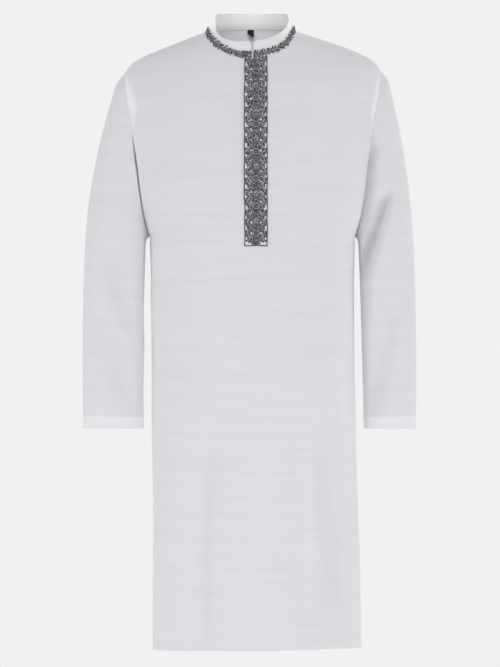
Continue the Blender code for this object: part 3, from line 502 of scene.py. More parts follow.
@dataclass
class PanelForm:
    """The front or the back: a half tube that closes in to the shoulder line and neckline."""

    sign: int
    depth: str
    armhole: float
    neck: float
    neck_rise: float
    neck_power: float
    power: float
    root: float
    folds: tuple[Fold, ...]
    creases: tuple[Fold, ...]
    neck_cells: int = 26
    side_cells: int = 36
    armhole_rows: int = 90
    shoulder_power: float = 4.0
    shoulder_root: float = 0.40
    outward_power: float = 1.2
    slit_edge_power: float = 12.0
    gape_power: float = 1.5
    fold_edge_power: float = 8.0
    neck_from: float = 0.0045
    neck_to: float = 0.0775
    neck_last: float = 0.0788
    column_gap: float = 0.0012
    neck_samples: tuple[float, float, int] = (0.55, 0.9995, 400)
    last_rise: float = 0.999
    centre_reach: float = 0.05
    hem_steps_mm: tuple[float, ...] = (0.0, 1.0, 4.0, 7.0)
    body_from_mm: float = 4.0
    body_rows: int = 176
    guide_x: float = 0.12

    def column_tables(self) -> tuple[Array, Array]:
        """Distances of the columns from the centre, at the chest and at the top."""
        half = BODY[-1].half_width
        if self.sign < 0:
            fixed = (SIZES.slit_half, -SIZES.placket_right_x, *SIZES.placket_fold_x, SIZES.placket_left_x)
        else:
            fixed = (0.0,)
        spaced = np.linspace(self.neck_from, self.neck_to, self.neck_cells)
        clear = np.min(np.abs(spaced[:, None] - np.array(fixed)), axis=1) > self.column_gap
        neck = np.sort(np.concatenate([fixed, spaced[clear], [self.neck_last]]))
        first = math.asin((SIZES.neck_half / half) ** (SIZES.squareness / 2))
        turns = np.linspace(first, math.pi / 2, self.side_cells + 1)
        chest_side = half * np.sin(turns) ** (2 / SIZES.squareness)
        top_side = np.linspace(SIZES.neck_half, SIZES.shoulder_half, self.side_cells + 1)
        chest = np.concatenate([neck, chest_side])
        top = np.concatenate([neck, top_side])
        mirrored = slice(None, 0 if chest[0] == 0 else None, -1)
        return np.concatenate([-chest[mirrored], chest]), np.concatenate([-top[mirrored], top])

    def shoulder_height(self, x: Array) -> Array:
        """Height of the shoulder line, carried on over the neck opening."""
        line = smooth(SHOULDER_LINE, "x", "z", np.abs(x))
        over_neck = self.neck_rise * np.maximum(1 - np.abs(x / SIZES.neck_half) ** self.neck_power, 0)
        return line + over_neck + SIZES.shoulder_tilt * x / SIZES.shoulder_half

    def upper_points(self, chest: Array, top: Array, rise: Array) -> Array:
        """Points above the armpits: rise goes from 0 at the chest to 1 on the shoulder."""
        seam_x = smooth(ARMHOLE_SEAM, "rise", "x", rise)
        half = BODY[-1].half_width
        spread = (seam_x - half) / (SIZES.shoulder_half - half)
        x = chest + (top - chest) * spread
        height = self.shoulder_height(top)
        z = SIZES.armpit_z + (height - SIZES.armpit_z) * rise
        depth = smooth(BODY, "z", self.depth, SIZES.armpit_z * (1 - rise))
        outward = (np.abs(top) / SIZES.shoulder_half) ** self.outward_power
        power = self.power + (self.shoulder_power - self.power) * outward
        root = self.root + (self.shoulder_root - self.root) * outward
        closing = np.maximum(1 - rise**power, 0) ** root
        inside = np.minimum(rise, self.last_rise)
        edge_closing = (1 - inside**self.shoulder_power) ** self.shoulder_root
        edge = self.armhole * lame(2 * inside - 1, SIZES.armhole_squareness)
        edge_share = edge / (depth * edge_closing)
        ratio = x / seam_x
        at_edge = edge_share * np.abs(ratio) ** SIZES.armhole_reach
        square = SIZES.squareness
        section = (lame(ratio) ** square + at_edge**square) ** (1 / square)
        y = self.sign * depth * closing * section
        return np.stack([x, y, z], axis=-1)

    def neck_rises(self, chest: Array, top: Array) -> Array:
        """For each column, the rise at which it ends on the neckline, or 1 on the shoulder."""
        rises = np.ones(len(top))
        samples = np.linspace(*self.neck_samples)
        sizes = np.abs(self.upper_points(chest, top, samples[:, None])[:, :, 1])
        for i in np.flatnonzero(np.abs(top) < SIZES.neck_half - TINY):
            wanted = self.neck * lame(top[i] / SIZES.neck_half, SIZES.neck_squareness)
            rises[i] = np.interp(-wanted, -sizes[:, i], samples)
        return rises

    def hem_height(self, x: Array) -> Array:
        """The hem hangs a little lower on the wearer's right and at its corners."""
        across = x / BODY[0].half_width
        return SIZES.hem_z + SIZES.hem_slant * across + SIZES.hem_corner_drop * across**4

    def lower_points(self, chest: Array, level: Array) -> Array:
        """Points at levels below the armpits."""
        half = smooth(BODY, "z", "half_width", level)
        depth = smooth(BODY, "z", self.depth, level)
        ratio = chest / chest[-1]
        grow = half / chest[-1]
        keep = np.clip((SIZES.armpit_z - level) / self.centre_reach, 0, 1)
        steady = np.abs(chest) < SIZES.placket_left_x + MM
        x = np.where(steady, chest * (1 + (grow - 1) * keep), chest * grow)
        y = self.sign * depth * lame(ratio)
        x = x + smooth(BODY, "z", "centre", level)
        share = ((SIZES.armpit_z - level) / (SIZES.armpit_z - SIZES.hem_z)) ** 2
        z = level + (self.hem_height(x) - SIZES.hem_z) * share
        slit_length = SIZES.slit_top_z - SIZES.hem_z
        below_slit = np.clip((SIZES.slit_top_z - level) / slit_length, 0, 1)
        gape = SIZES.slit_gape * below_slit**self.gape_power * np.abs(ratio) ** self.slit_edge_power
        return np.stack([x, y + self.sign * gape, z], axis=-1)

    def lower_levels(self) -> Array:
        """Levels of the rows from the hem up to just below the armpits."""
        band_top = SIZES.hem_z + SIZES.hem_band
        near_band = band_top + MM * np.array(BAND_STEPS_MM)
        band = SIZES.hem_z + MM * np.array(self.hem_steps_mm)
        body = np.linspace(band_top + self.body_from_mm * MM, SIZES.armpit_z, self.body_rows)[:-1]
        return np.concatenate([band, near_band, body])

    def cloth(self) -> Cloth:
        """The whole panel, rows from the hem to the top, with its folds and creases."""
        chest, top = self.column_tables()
        levels = self.lower_levels()
        lower = self.lower_points(chest, levels[:, None])
        ends = self.neck_rises(chest, top)
        turns = np.linspace(0, math.pi, self.armhole_rows + 1)
        shares = (1 - np.cos(turns)) / 2
        upper = self.upper_points(chest, top, shares[:, None] * ends)
        grid = np.concatenate([lower, upper])
        held_at_edge = np.abs(chest / chest[-1]) ** self.fold_edge_power
        x, z = grid[:, :, 0], grid[:, :, 2]
        sink = fold_shift(self.folds, x, z) * (1 - held_at_edge)
        sink = sink + fold_shift(self.creases, x, z) * (1 - held_at_edge**2)
        grid[:, :, 1] -= self.sign * sink
        grid[:, :, 1] += self.sign * SIZES.seam_gap / 2
        return Cloth(grid, flip=self.sign > 0, lengthwise=self.warp_lengths(grid))

    def warp_lengths(self, grid: Array) -> Array:
        """Distance from the hem along the cloth, the same at each level so the weft hangs level."""
        guide = grid[:, int(np.argmin(np.abs(grid[0, :, 0] - self.guide_x)))]
        return np.interp(grid[:, :, 2], guide[:, 2], run_along(guide))


@dataclass
class SleeveForm:
    """A sleeve: sections from the armhole to the hem, round the arm."""

    rings: tuple[Ring, ...]
    side: int
    front_folds: tuple[Fold, ...]
    back_folds: tuple[Fold, ...]
    rows: int = 150
    seam_blend: float = 0.17
    squareness: float = 2.8
    band: float = 0.024
    lean: float = 0.085
    swell: float = 0.0022
    swell_at: float = 0.012
    pull: float = 0.0175
    pull_at: float = 0.0058
    flatness: float = 0.95
    fold_blend: float = 0.045
    low_from: float = 0.35
    low_reach: float = 0.5
    upper_swell: float = 0.25
    seam_steps_mm: tuple[float, ...] = (0.0, 1.2, 2.6, 4.4, 6.6, 9.2, 12.4)
    hem_steps_mm: tuple[float, ...] = (4.0, 1.0, 0.0)
    row_gap_mm: float = 0.7

    @property
    def length(self) -> float:
        """Height from the shoulder down to the hem."""
        return self.rings[0].out_z - self.rings[-1].out_z

    def band_at(self) -> float:
        """Place of the turned hem's stitch line."""
        return 1 - self.band / self.length

    def steps(self) -> Array:
        """Places of the rows from the armhole to the hem, close together at both bands."""
        near = self.band_at() + np.array(BAND_STEPS_MM) * MM / self.length
        seam = np.array(self.seam_steps_mm) * MM / self.length
        last = 1 - np.array(self.hem_steps_mm) * MM / self.length
        even = np.linspace(0, 1, self.rows)
        named = np.concatenate([near, seam, last])
        clear = np.min(np.abs(even[:, None] - named), axis=1) > self.row_gap_mm * MM / self.length
        return np.unique(np.concatenate([even[clear], named]))

    def seam_relief(self, at: Array, upward: Array) -> Array:
        """How far the cloth stands out beside the armhole: pulled in at the seam, then swelling."""
        away = (at * self.length)[:, None]
        swell = self.swell * away / self.swell_at * np.exp(1 - away / self.swell_at)
        low = ease((self.low_from - upward) / self.low_reach)
        swell = swell * (self.upper_swell + (1 - self.upper_swell) * low)
        pulled = self.pull * low * away / self.pull_at * np.exp(1 - away / self.pull_at)
        return (swell - pulled) * lame(upward, 2) ** 0.5

    def cloth(self, armhole: Array) -> Cloth:
        """The sleeve's grid, first column under the arm, then up the front and down the back."""
        count = len(armhole)
        turn = np.arange(count) * 2 * math.pi / count
        upward = -np.cos(turn)
        forward = np.where(turn <= math.pi, -1.0, 1.0)
        at = self.steps()
        names = ("out_x", "out_z", "in_x", "in_z", "depth", "middle_y")
        read = {name: smooth(self.rings, "at", name, at)[:, None] for name in names}
        x = (read["out_x"] + read["in_x"]) / 2 + upward * (read["out_x"] - read["in_x"]) / 2
        z = (read["out_z"] + read["in_z"]) / 2 + upward * (read["out_z"] - read["in_z"]) / 2
        blend = np.clip(1 - at / self.seam_blend, 0, 1)[:, None]
        power = self.squareness + (SIZES.squareness - self.squareness) * blend
        depth = read["depth"] * (self.flatness + (1 - self.flatness) * blend)
        y = read["middle_y"] + forward * depth * lame(upward, power)
        grid = np.stack([x * self.side, y, z], axis=-1)
        fade = ease(blend)
        grid += fade[..., None] * (armhole - grid[0])
        held = ease(1 - at / self.fold_blend)[:, None]
        for folds, facing in ((self.front_folds, -1.0), (self.back_folds, 1.0)):
            sink = fold_shift(folds, grid[:, :, 0], grid[:, :, 2]) * (forward == facing)
            sink = sink * lame(upward, 2) ** 0.5 * (1 - held)
            grid[:, :, 1] -= facing * sink
        grid[:, :, 1] += forward * self.seam_relief(at, upward)
        lengthwise = -(grid[:, :, 2] * math.cos(self.lean) - np.abs(grid[:, :, 0]) * math.sin(self.lean))
        return Cloth(grid, around=True, flip=self.side > 0, lengthwise=lengthwise)


@dataclass
class CollarForm:
    """The stand collar: a band from the neck seam up to its top edge, open at the front."""

    top_half: float = 0.064
    top_front_y: float = -0.061
    top_back_y: float = 0.057
    top_front_z: float = -0.0205
    top_back_z: float = 0.0375
    top_side_z: float = 0.023
    corner: float = 0.006
    right_extra: float = 0.0015
    right_drop: float = 0.0018
    square_right: float = 3.1
    square_left: float = 1.9
    square_back: float = 3.1
    back_flatness: float = 0.4
    bow: float = 0.0012
    corner_turn: float = 4.0
    rows: int = 20
    edge_steps: tuple[float, ...] = (0.02, 0.05)
    wall: float = 0.0017

    def top_edge(self, seam: Array, neck_front: float) -> Array:
        """The band's top edge above each point of its seam."""
        angle = np.arctan2(seam[:, 0] / SIZES.neck_half, -seam[:, 1] / neck_front)
        sine, cosine = np.sin(angle), np.cos(angle)
        turn = self.corner_turn
        rightward = np.clip(-turn * sine, 0, 1) * np.clip(turn * cosine, 0, 1)
        square = self.square_left + (self.square_right - self.square_left) * rightward
        square = square + (self.square_back - square) * np.clip(-turn * cosine, 0, 1)
        across = np.sign(sine) * np.abs(sine) ** (2 / square)
        share = np.abs(cosine) ** (2 / square)
        forward = cosine > 0
        end_y = np.where(forward, self.top_front_y, self.top_back_y)
        end_z = np.where(forward, self.top_front_z, self.top_back_z)
        rise = np.where(forward, share, share**self.back_flatness)
        half = self.top_half + self.right_extra * np.clip(-sine, 0, 1)
        z = self.top_side_z + (end_z - self.right_drop * rightward - self.top_side_z) * rise
        return np.stack([half * across, end_y * share, z], axis=-1)

    def cloth(self, seam: Array, neck_front: float) -> Cloth:
        """The collar's grid, rows from the seam up, columns round the neck."""
        top = self.top_edge(seam, neck_front)
        run = run_along(top)
        short = np.maximum(self.corner - np.minimum(run, run[-1] - run), 0)
        drop = self.corner - np.sqrt(self.corner**2 - short**2)
        height = np.linalg.norm(top - seam, axis=1)
        rows = []
        shares = np.concatenate([np.linspace(0, 1, self.rows), 1 - np.array(self.edge_steps)])
        for share in np.unique(shares):
            row = seam + (top - seam) * (share * (1 - drop / height))[:, None]
            row[:, :2] += unit(row[:, :2]) * self.bow * math.sin(math.pi * share)
            rows.append(row)
        return Cloth(np.array(rows))


# --- Sewing the forms together ---


def armhole_loop(front: Array, back: Array, column: int, rows: int) -> Array:
    """Both panels' edges above the armpit as one loop: up the front, then down the back."""
    up = front[-rows - 1 :, column]
    down = back[-rows - 1 :, column]
    loop = np.concatenate([up, down[-2:0:-1]])
    loop[0] = (up[0] + down[0]) / 2
    loop[rows] = (up[-1] + down[-1]) / 2
    return loop


def write_armhole(loop: Array, front: Array, back: Array, column: int, rows: int) -> None:
    """Writes a loop's values back to both panels' edges."""
    front[-rows - 1 :, column] = loop[: rows + 1]
    back[-rows - 1 :, column] = np.concatenate([loop[:1], loop[: rows - 1 : -1]])


def step_off(seam: Array, beyond: Array, normals: Array, closed: bool) -> Array:
    """A seam line moved off its neighbour by the seam gap, towards the piece's next row."""
    if closed:
        tangent = np.roll(seam, -1, axis=0) - np.roll(seam, 1, axis=0)
    else:
        tangent = np.gradient(seam, axis=0)
    away = unit(np.cross(tangent, normals))
    side = np.sign(np.sum(away * (beyond - seam), axis=-1, keepdims=True))
    return seam + away * side * SIZES.seam_gap


def share_directions(first: Cloth, second: Cloth, first_at: tuple, second_at: tuple) -> None:
    """Gives two pieces the same wall direction along a seam."""
    shared = unit(first.normals[first_at] + second.normals[second_at])
    first.normals[first_at] = shared
    second.normals[second_at] = shared


@dataclass
class Tailor:
    """Sews the forms: pieces that meet share their edge points and wall directions."""

    front: PanelForm
    back: PanelForm
    left: SleeveForm
    right: SleeveForm
    collar: CollarForm
    # The neck seam is drawn in by this much beside the wearer's left neck point.
    drawn: float = 0.0067
    drawn_from_x: float = 0.058
    drawn_reach: float = 0.085
    drawn_low_z: float = -0.090
    drawn_full_z: float = -0.020
    drawn_top_z: float = 0.023
    # Extra columns that round the collar's front corners, between the first two of the seam.
    end_shares: tuple[float, ...] = (0.35, 0.55, 0.78)

    def join_panels(self, front: Cloth, back: Cloth) -> None:
        """Joins the side edges and the shoulder seams."""
        for column in (0, -1):
            share_directions(front, back, (slice(None), column), (slice(None), column))
        for column in range(self.front.side_cells + 1):
            share_directions(front, back, (-1, column), (-1, column))
            share_directions(front, back, (-1, -1 - column), (-1, -1 - column))

    def sleeve(self, form: SleeveForm, front: Cloth, back: Cloth) -> Cloth:
        """A sleeve sewn into its armhole."""
        column = -1 if form.side > 0 else 0
        rows = self.front.armhole_rows
        armhole = armhole_loop(front.outer, back.outer, column, rows)
        sleeve = form.cloth(armhole)
        panels = unit(armhole_loop(front.normals, back.normals, column, rows))
        shared = unit(panels + sleeve.own[0])
        write_armhole(shared, front.normals, back.normals, column, rows)
        sleeve.normals[0] = shared
        sleeve.outer[0] = step_off(armhole, sleeve.outer[1], shared, closed=True)
        return sleeve

    def neck_pairs(self, front_count: int, back_count: int) -> list[tuple[int | None, int | None]]:
        """Neck seam columns as (front, back) pairs, from the opening round the back and on."""
        side = self.front.side_cells
        left = [(c, None) for c in range(front_count // 2, front_count - side - 1)]
        right = [(c, None) for c in range(side + 1, front_count // 2)]
        behind = [(None, c) for c in range(back_count - side - 2, side, -1)]
        left_point = (front_count - side - 1, back_count - side - 1)
        return left + [left_point] + behind + [(side, side)] + right

    def seam_columns(self, count: int) -> list[int]:
        """The collar's columns that stand on the panels' own neck columns."""
        extra = len(self.end_shares)
        return [0, *range(extra, count - extra), count - 1]

    def neck_line(self, front: Array, back: Array, pairs: list) -> Array:
        """The panels' top row along the neck seam."""
        line = []
        for f, b in pairs:
            ends = [grid[-1, c] for grid, c in ((front, f), (back, b)) if c is not None]
            line.append(sum(ends) / len(ends))
        return np.array(line)

    def sew_collar(self, front: Cloth, back: Cloth) -> Cloth:
        """The collar set on the neckline."""
        pairs = self.neck_pairs(front.outer.shape[1], back.outer.shape[1])
        line = self.neck_line(front.outer, back.outer, pairs)
        directions = self.neck_line(front.normals, back.normals, pairs)
        ends = [line[0] + (line[1] - line[0]) * s for s in self.end_shares]
        far = [line[-1] + (line[-2] - line[-1]) * s for s in reversed(self.end_shares)]
        seam = np.concatenate([ends, line[1:-1], far])
        repeated = np.concatenate(
            [[directions[0]] * len(ends), directions[1:-1], [directions[-1]] * len(far)]
        )
        collar = self.collar.cloth(seam, self.front.neck)
        shared = unit(unit(repeated) + collar.own[0])
        collar.normals[0] = shared
        for value, (f, b) in zip(shared[self.seam_columns(len(seam))], pairs):
            if f is not None:
                front.normals[-1, f] = value
            if b is not None:
                back.normals[-1, b] = value
        collar.outer[0] = step_off(seam, collar.outer[1], shared, closed=False)
        return collar

    def draw_in(self, cloth: Cloth) -> None:
        """Draws the neck in beside the wearer's left neck point, where the seam runs steeper."""
        x, z = cloth.outer[..., 0], cloth.outer[..., 2]
        inward = ease((x - self.drawn_from_x) / (SIZES.neck_half - self.drawn_from_x))
        outward = 1 - ease((x - SIZES.neck_half) / self.drawn_reach)
        below = ease((z - self.drawn_low_z) / (self.drawn_full_z - self.drawn_low_z))
        above = 1 - ease(z / self.drawn_top_z)
        cloth.outer[..., 0] = x - self.drawn * inward * outward * below * above

    def sew(self) -> dict[str, Cloth]:
        """All five main pieces, sewn."""
        front = self.front.cloth()
        back = self.back.cloth()
        self.join_panels(front, back)
        left = self.sleeve(self.left, front, back)
        right = self.sleeve(self.right, front, back)
        collar = self.sew_collar(front, back)
        for cloth in (front, back, collar):
            self.draw_in(cloth)
        names = ("front", "back", "sleeve_left", "sleeve_right", "collar")
        return dict(zip(names, (front, back, left, right, collar)))


# --- Finishes ---


def linear(code: str) -> tuple[float, float, float, float]:
    """Linear colour of an sRGB hex code."""
    channels = [int(code[i : i + 2], 16) / 255 for i in (1, 3, 5)]
    turned = [c / 12.92 if c <= 0.04045 else ((c + 0.055) / 1.055) ** 2.4 for c in channels]
    return (*turned, 1.0)


def add_node(tree: Tree, kind: str, inputs: dict | None = None, **settings: object) -> Node:
    """Adds a node with its settings, values and links.

    Args:
        tree: The node tree.
        kind: The node's type name.
        inputs: For each input, by name or index, its value or the socket that feeds it.
        settings: The node's own properties.

    Returns:
        The node.
    """
    node = tree.nodes.new(kind)
    for name, value in settings.items():
        setattr(node, name, value)
    plug(tree, node, inputs or {})
    return node


def plug(tree: Tree, node: Node, inputs: dict) -> None:
    """Sets a node's inputs: each to its value, or linked to the socket that feeds it."""
    for name, value in inputs.items():
        if isinstance(value, Socket):
            tree.links.new(value, node.inputs[name])
        else:
            node.inputs[name].default_value = value


def mixed(tree: Tree, under: Socket | tuple, over: tuple, share: Socket) -> Socket:
    """One colour over another by a share."""
    return add_node(tree, "ShaderNodeMix", {0: share, 6: under, 7: over}, data_type="RGBA").outputs[2]


def relief(
    tree: Tree, height: Socket, strength: float, distance: float, under: Socket | None = None
) -> Socket:
    """A fine relief as shading, over another one where it is given."""
    inputs = {"Height": height, "Strength": strength, "Distance": distance}
    if under is not None:
        inputs["Normal"] = under
    return add_node(tree, "ShaderNodeBump", inputs).outputs["Normal"]


def put(name: str, data: bpy.types.ID) -> Object:
    """A new object in the scene's collection."""
    thing = bpy.data.objects.new(name, data)
    bpy.context.collection.objects.link(thing)
    return thing


def new_material(name: str) -> tuple[Material, Tree, Node]:
    """An empty material.

    Args:
        name: The material's name.

    Returns:
        The material, its node tree, and its shader, joined to the output.
    """
    finish = bpy.data.materials.new(name)
    finish.use_nodes = True
    tree = finish.node_tree
    tree.nodes.clear()
    shader = add_node(tree, "ShaderNodeBsdfPrincipled")
    add_node(tree, "ShaderNodeOutputMaterial", {"Surface": shader.outputs["BSDF"]})
    return finish, tree, shader


@dataclass(frozen=True)
class SlubCloth:
    """White slub cotton, plain woven and pressed: the eye gets a matt, soft white with fine
    level dashes, where thick and thin stretches of the weft yarn lie."""

    name: str = "white slub cotton, plain woven"
    colour: str = "#E6E5E9"
    thick_colour: str = "#F0EFF3"
    thin_colour: str = "#DAD9DF"
    double_colour: str = "#F6F6F8"
    slub_mm: tuple[float, float] = (60.0, 2.8)
    streak_mm: tuple[float, float] = (170.0, 2.4)
    band_mm: tuple[float, float] = (260.0, 15.0)
    dash_share: float = 0.19
    streak_gain: float = 1.7
    band_share: float = 0.22
    band_range: tuple[float, float] = (0.42, 0.72)
    thin_range: tuple[float, float] = (0.46, 0.30)
    thick_range: tuple[float, float] = (0.56, 0.74)
    streak_range: tuple[float, float] = (0.64, 0.72)
    yarn_mm: float = 0.9
    weave_strength: float = 0.2
    weave_height: float = 0.00008
    slub_strength: float = 0.3
    slub_height: float = 0.0003
    roughness: float = 0.86
    sheen: float = 0.6
    sheen_roughness: float = 0.45

    def dashes(self, tree: Tree, layout: Socket, size_mm: tuple) -> Node:
        """Noise drawn out along the weft.

        Args:
            tree: The material's nodes.
            layout: The flat layout, in metres.
            size_mm: Length and height of a dash.

        Returns:
            The noise node.
        """
        scale = (1 / (size_mm[0] * MM), 1 / (size_mm[1] * MM), 1.0)
        placed = add_node(tree, "ShaderNodeMapping", {"Vector": layout, "Scale": scale})
        values = {"Vector": placed.outputs["Vector"], "Scale": 1.0, "Detail": 2.0, "Roughness": 0.45}
        return add_node(tree, "ShaderNodeTexNoise", values)

    def share(self, tree: Tree, noise: Node, span: tuple[float, float], most: float) -> Socket:
        """How far the noise lies from one of its values to another, from 0 to the most."""
        low, high = span
        values = {"Value": noise.outputs["Fac"], "From Min": low, "From Max": high, "To Max": most}
        return add_node(tree, "ShaderNodeMapRange", values).outputs["Result"]

    def material(self) -> Material:
        """The finish as a material on the piece's flat layout."""
        finish, tree, shader = new_material(self.name)
        layout = add_node(tree, "ShaderNodeUVMap", uv_map="Layout").outputs["UV"]
        slubs = self.dashes(tree, layout, self.slub_mm)
        streaks = self.dashes(tree, layout, self.streak_mm)
        bands = self.dashes(tree, layout, self.band_mm)
        colour = linear(self.colour)
        for noise, span, tone, share in (
            (bands, self.band_range, self.thin_colour, self.band_share),
            (slubs, self.thin_range, self.thin_colour, self.dash_share),
            (slubs, self.thick_range, self.thick_colour, self.dash_share),
            (streaks, self.streak_range, self.thick_colour, self.streak_gain * self.dash_share),
        ):
            colour = mixed(tree, colour, linear(tone), self.share(tree, noise, span, share))
        # On doubled cloth this attribute whitens it; on the collar's darker copy it lifts the outer side
        # to white and leaves painted shade inside the band and on the back's upper rim.
        layers = add_node(tree, "ShaderNodeAttribute", attribute_name="layers")
        colour = mixed(tree, colour, linear(self.double_colour), layers.outputs["Fac"])
        pace = math.pi / (self.yarn_mm * MM)
        woven = add_node(tree, "ShaderNodeMapping", {"Vector": layout, "Scale": (pace, pace, 1.0)})
        parts = add_node(tree, "ShaderNodeSeparateXYZ", {"Vector": woven.outputs["Vector"]})
        warp, weft = (
            add_node(tree, "ShaderNodeMath", {0: parts.outputs[axis]}, operation="SINE").outputs[0]
            for axis in ("X", "Y")
        )
        weave = add_node(tree, "ShaderNodeMath", {0: warp, 1: weft}, operation="MULTIPLY")
        grain = relief(tree, weave.outputs[0], self.weave_strength, self.weave_height)
        raised = relief(tree, slubs.outputs["Fac"], self.slub_strength, self.slub_height, grain)
        values = {
            "Base Color": colour,
            "Normal": raised,
            "Roughness": self.roughness,
            "Sheen Weight": self.sheen,
            "Sheen Roughness": self.sheen_roughness,
            "Diffuse Roughness": 1.0,
            "Specular IOR Level": 0.25,
        }
        plug(tree, shader, values)
        return finish


# --- Thread work ---


@dataclass
class Patch:
    """A stretch of cloth spread flat: places across and up it read its points and directions."""

    across: Array
    up: Array
    points: Array
    normals: Array
    step: float = 0.4 * MM  # how far apart places are read to find a direction

    def read(self, grid: Array, across: Array, up: Array) -> Array:
        """Values of a grid at places given across and up."""
        column = np.interp(across, self.across, np.arange(len(self.across)))
        row = np.interp(up, self.up, np.arange(len(self.up)))
        c = np.minimum(column.astype(int), len(self.across) - 2)
        r = np.minimum(row.astype(int), len(self.up) - 2)
        over = (column - c)[..., None]
        rise = (row - r)[..., None]
        low = grid[r, c] * (1 - over) + grid[r, c + 1] * over
        high = grid[r + 1, c] * (1 - over) + grid[r + 1, c + 1] * over
        return low * (1 - rise) + high * rise

    def frame(self, across: Array, up: Array) -> tuple[Array, Array, Array, Array]:
        """Point, outward direction, and the directions across and up, at each place."""
        step = self.step
        point = self.read(self.points, across, up)
        normal = unit(self.read(self.normals, across, up))
        over = self.read(self.points, across + step, up) - self.read(self.points, across - step, up)
        over = unit(over - normal * np.sum(over * normal, axis=-1, keepdims=True))
        return point, normal, over, np.cross(normal, over) * self.turn(over, normal, across, up)

    def turn(self, over: Array, normal: Array, across: Array, up: Array) -> float:
        """Whether up lies a quarter turn on from across (1) or back from it (-1)."""
        step = self.step
        rise = self.read(self.points, across, up + step) - self.read(self.points, across, up - step)
        return float(np.sign(np.sum(np.cross(normal, over) * rise)))


class Stitch(NamedTuple):
    """A laid thread's size, the height of its middle over the cloth, and its tone.

    Sizes are in metres. The tone goes from dark (0) to light (1).
    """

    length: Array | float
    width: float
    height: float
    lift: float
    tone: Array | float = 0.0


def stitch(length: float, width: float, height: float, lift: float, tone: float = 0.0) -> Stitch:
    """A stitch from sizes in millimetres."""
    return Stitch(length * MM, width * MM, height * MM, lift * MM, tone)


@dataclass
class Threads:
    """Laid threads and leaves: each a small lens with its place, directions, size and tone."""

    places: list[Array] = field(default_factory=list)
    alongs: list[Array] = field(default_factory=list)
    ups: list[Array] = field(default_factory=list)
    sizes: list[Array] = field(default_factory=list)
    tones: list[Array] = field(default_factory=list)
    # How far a cord's tone wavers, and how fast along it, in radians for each millimetre.
    shade_waves: tuple[tuple[float, float], ...] = ((0.10, 2.1), (0.06, 0.37))

    def lay(self, patch: Patch, across: Array, up: Array, angle: Array | float, laid: Stitch) -> None:
        """Lays one thread at each place.

        Args:
            patch: The cloth under them.
            across: Places across the patch, in metres.
            up: Places up the patch, in metres.
            angle: Direction of each thread in radians, from across towards up.
            laid: The stitch; each of its values is one, or one for each thread.
        """
        across = np.atleast_1d(np.asarray(across, float))
        up = np.broadcast_to(up, across.shape).astype(float)
        turn = np.broadcast_to(angle, across.shape)[:, None]
        point, normal, over, rise = patch.frame(across, up)
        *size, lift, tone = (np.broadcast_to(value, across.shape) for value in laid)
        self.places.append(point + normal * lift[:, None])
        self.alongs.append(over * np.cos(turn) + rise * np.sin(turn))
        self.ups.append(normal)
        self.sizes.append(np.stack(size, axis=-1))
        self.tones.append(tone)

    def rope(
        self,
        patch: Patch,
        across: Array,
        up: Array,
        spacing: float,
        laid: Stitch,
        slant: float,
        keep: Array | None = None,
    ) -> None:
        """A couched cord along a line: short slanting stitches, one after another.

        Args:
            patch: The cloth under it.
            across: The line's places across.
            up: The line's places up.
            spacing: Distance between stitches.
            laid: The stitch, with the cord's middle tone.
            slant: Angle in radians between a stitch and the line.
            keep: For each place of the line, whether the cord shows there.
        """
        run = np.concatenate([[0], np.cumsum(np.hypot(np.diff(across), np.diff(up)))])
        at = np.arange(spacing / 2, run[-1], spacing)
        a = np.interp(at, run, across)
        u = np.interp(at, run, up)
        way = np.arctan2(np.gradient(u), np.gradient(a))
        shade = laid.tone
        for amount, pace in self.shade_waves:
            shade = shade + amount * np.sin(at / MM * pace)
        shown = np.ones(len(at), bool) if keep is None else np.interp(at, run, keep) > 0.5
        self.lay(patch, a[shown], u[shown], (way + slant)[shown], laid._replace(tone=shade[shown]))

    def count(self) -> int:
        """How many threads are laid."""
        return sum(len(part) for part in self.places)

    def cloud(self, name: str) -> Mesh:
        """A point for each thread, with its directions, size and tone as attributes."""
        places = np.concatenate(self.places)
        mesh = bpy.data.meshes.new(name)
        mesh.vertices.add(len(places))
        mesh.vertices.foreach_set("co", places.astype(np.float32).reshape(-1))
        for title, kind, key, parts in (
            ("along", "FLOAT_VECTOR", "vector", self.alongs),
            ("up", "FLOAT_VECTOR", "vector", self.ups),
            ("size", "FLOAT_VECTOR", "vector", self.sizes),
            ("tone", "FLOAT", "value", self.tones),
        ):
            values = np.concatenate(parts).astype(np.float32).reshape(-1)
            mesh.attributes.new(title, kind, "POINT").data.foreach_set(key, values)
        return mesh


@dataclass(frozen=True)
class Lens:
    """Outline of one laid thread: a closed spindle of length, width and height 1."""

    rings: tuple[float, ...] = (-0.33, 0.0, 0.33)
    sides: int = 5
    fullness: float = 2.0

    def mesh(self) -> Mesh:
        """The spindle along X, a few faces."""
        points = [(-0.5, 0.0, 0.0)]
        for place in self.rings:
            reach = 0.5 * (1 - abs(2 * place) ** self.fullness)
            for i in range(self.sides):
                turn = 2 * math.pi * (i + 0.25) / self.sides
                points.append((place, reach * math.cos(turn), reach * math.sin(turn)))
        points.append((0.5, 0.0, 0.0))
        faces = []
        for i in range(self.sides):
            after = (i + 1) % self.sides
            faces.append((0, 1 + after, 1 + i))
            for ring in range(len(self.rings) - 1):
                low = 1 + ring * self.sides
                faces.append((low + i, low + after, low + self.sides + after, low + self.sides + i))
            last = 1 + (len(self.rings) - 1) * self.sides
            faces.append((last + i, last + after, len(points) - 1))
        mesh = bpy.data.meshes.new("spindle")
        mesh.from_pydata(points, [], faces)
        mesh.shade_smooth()
        return mesh


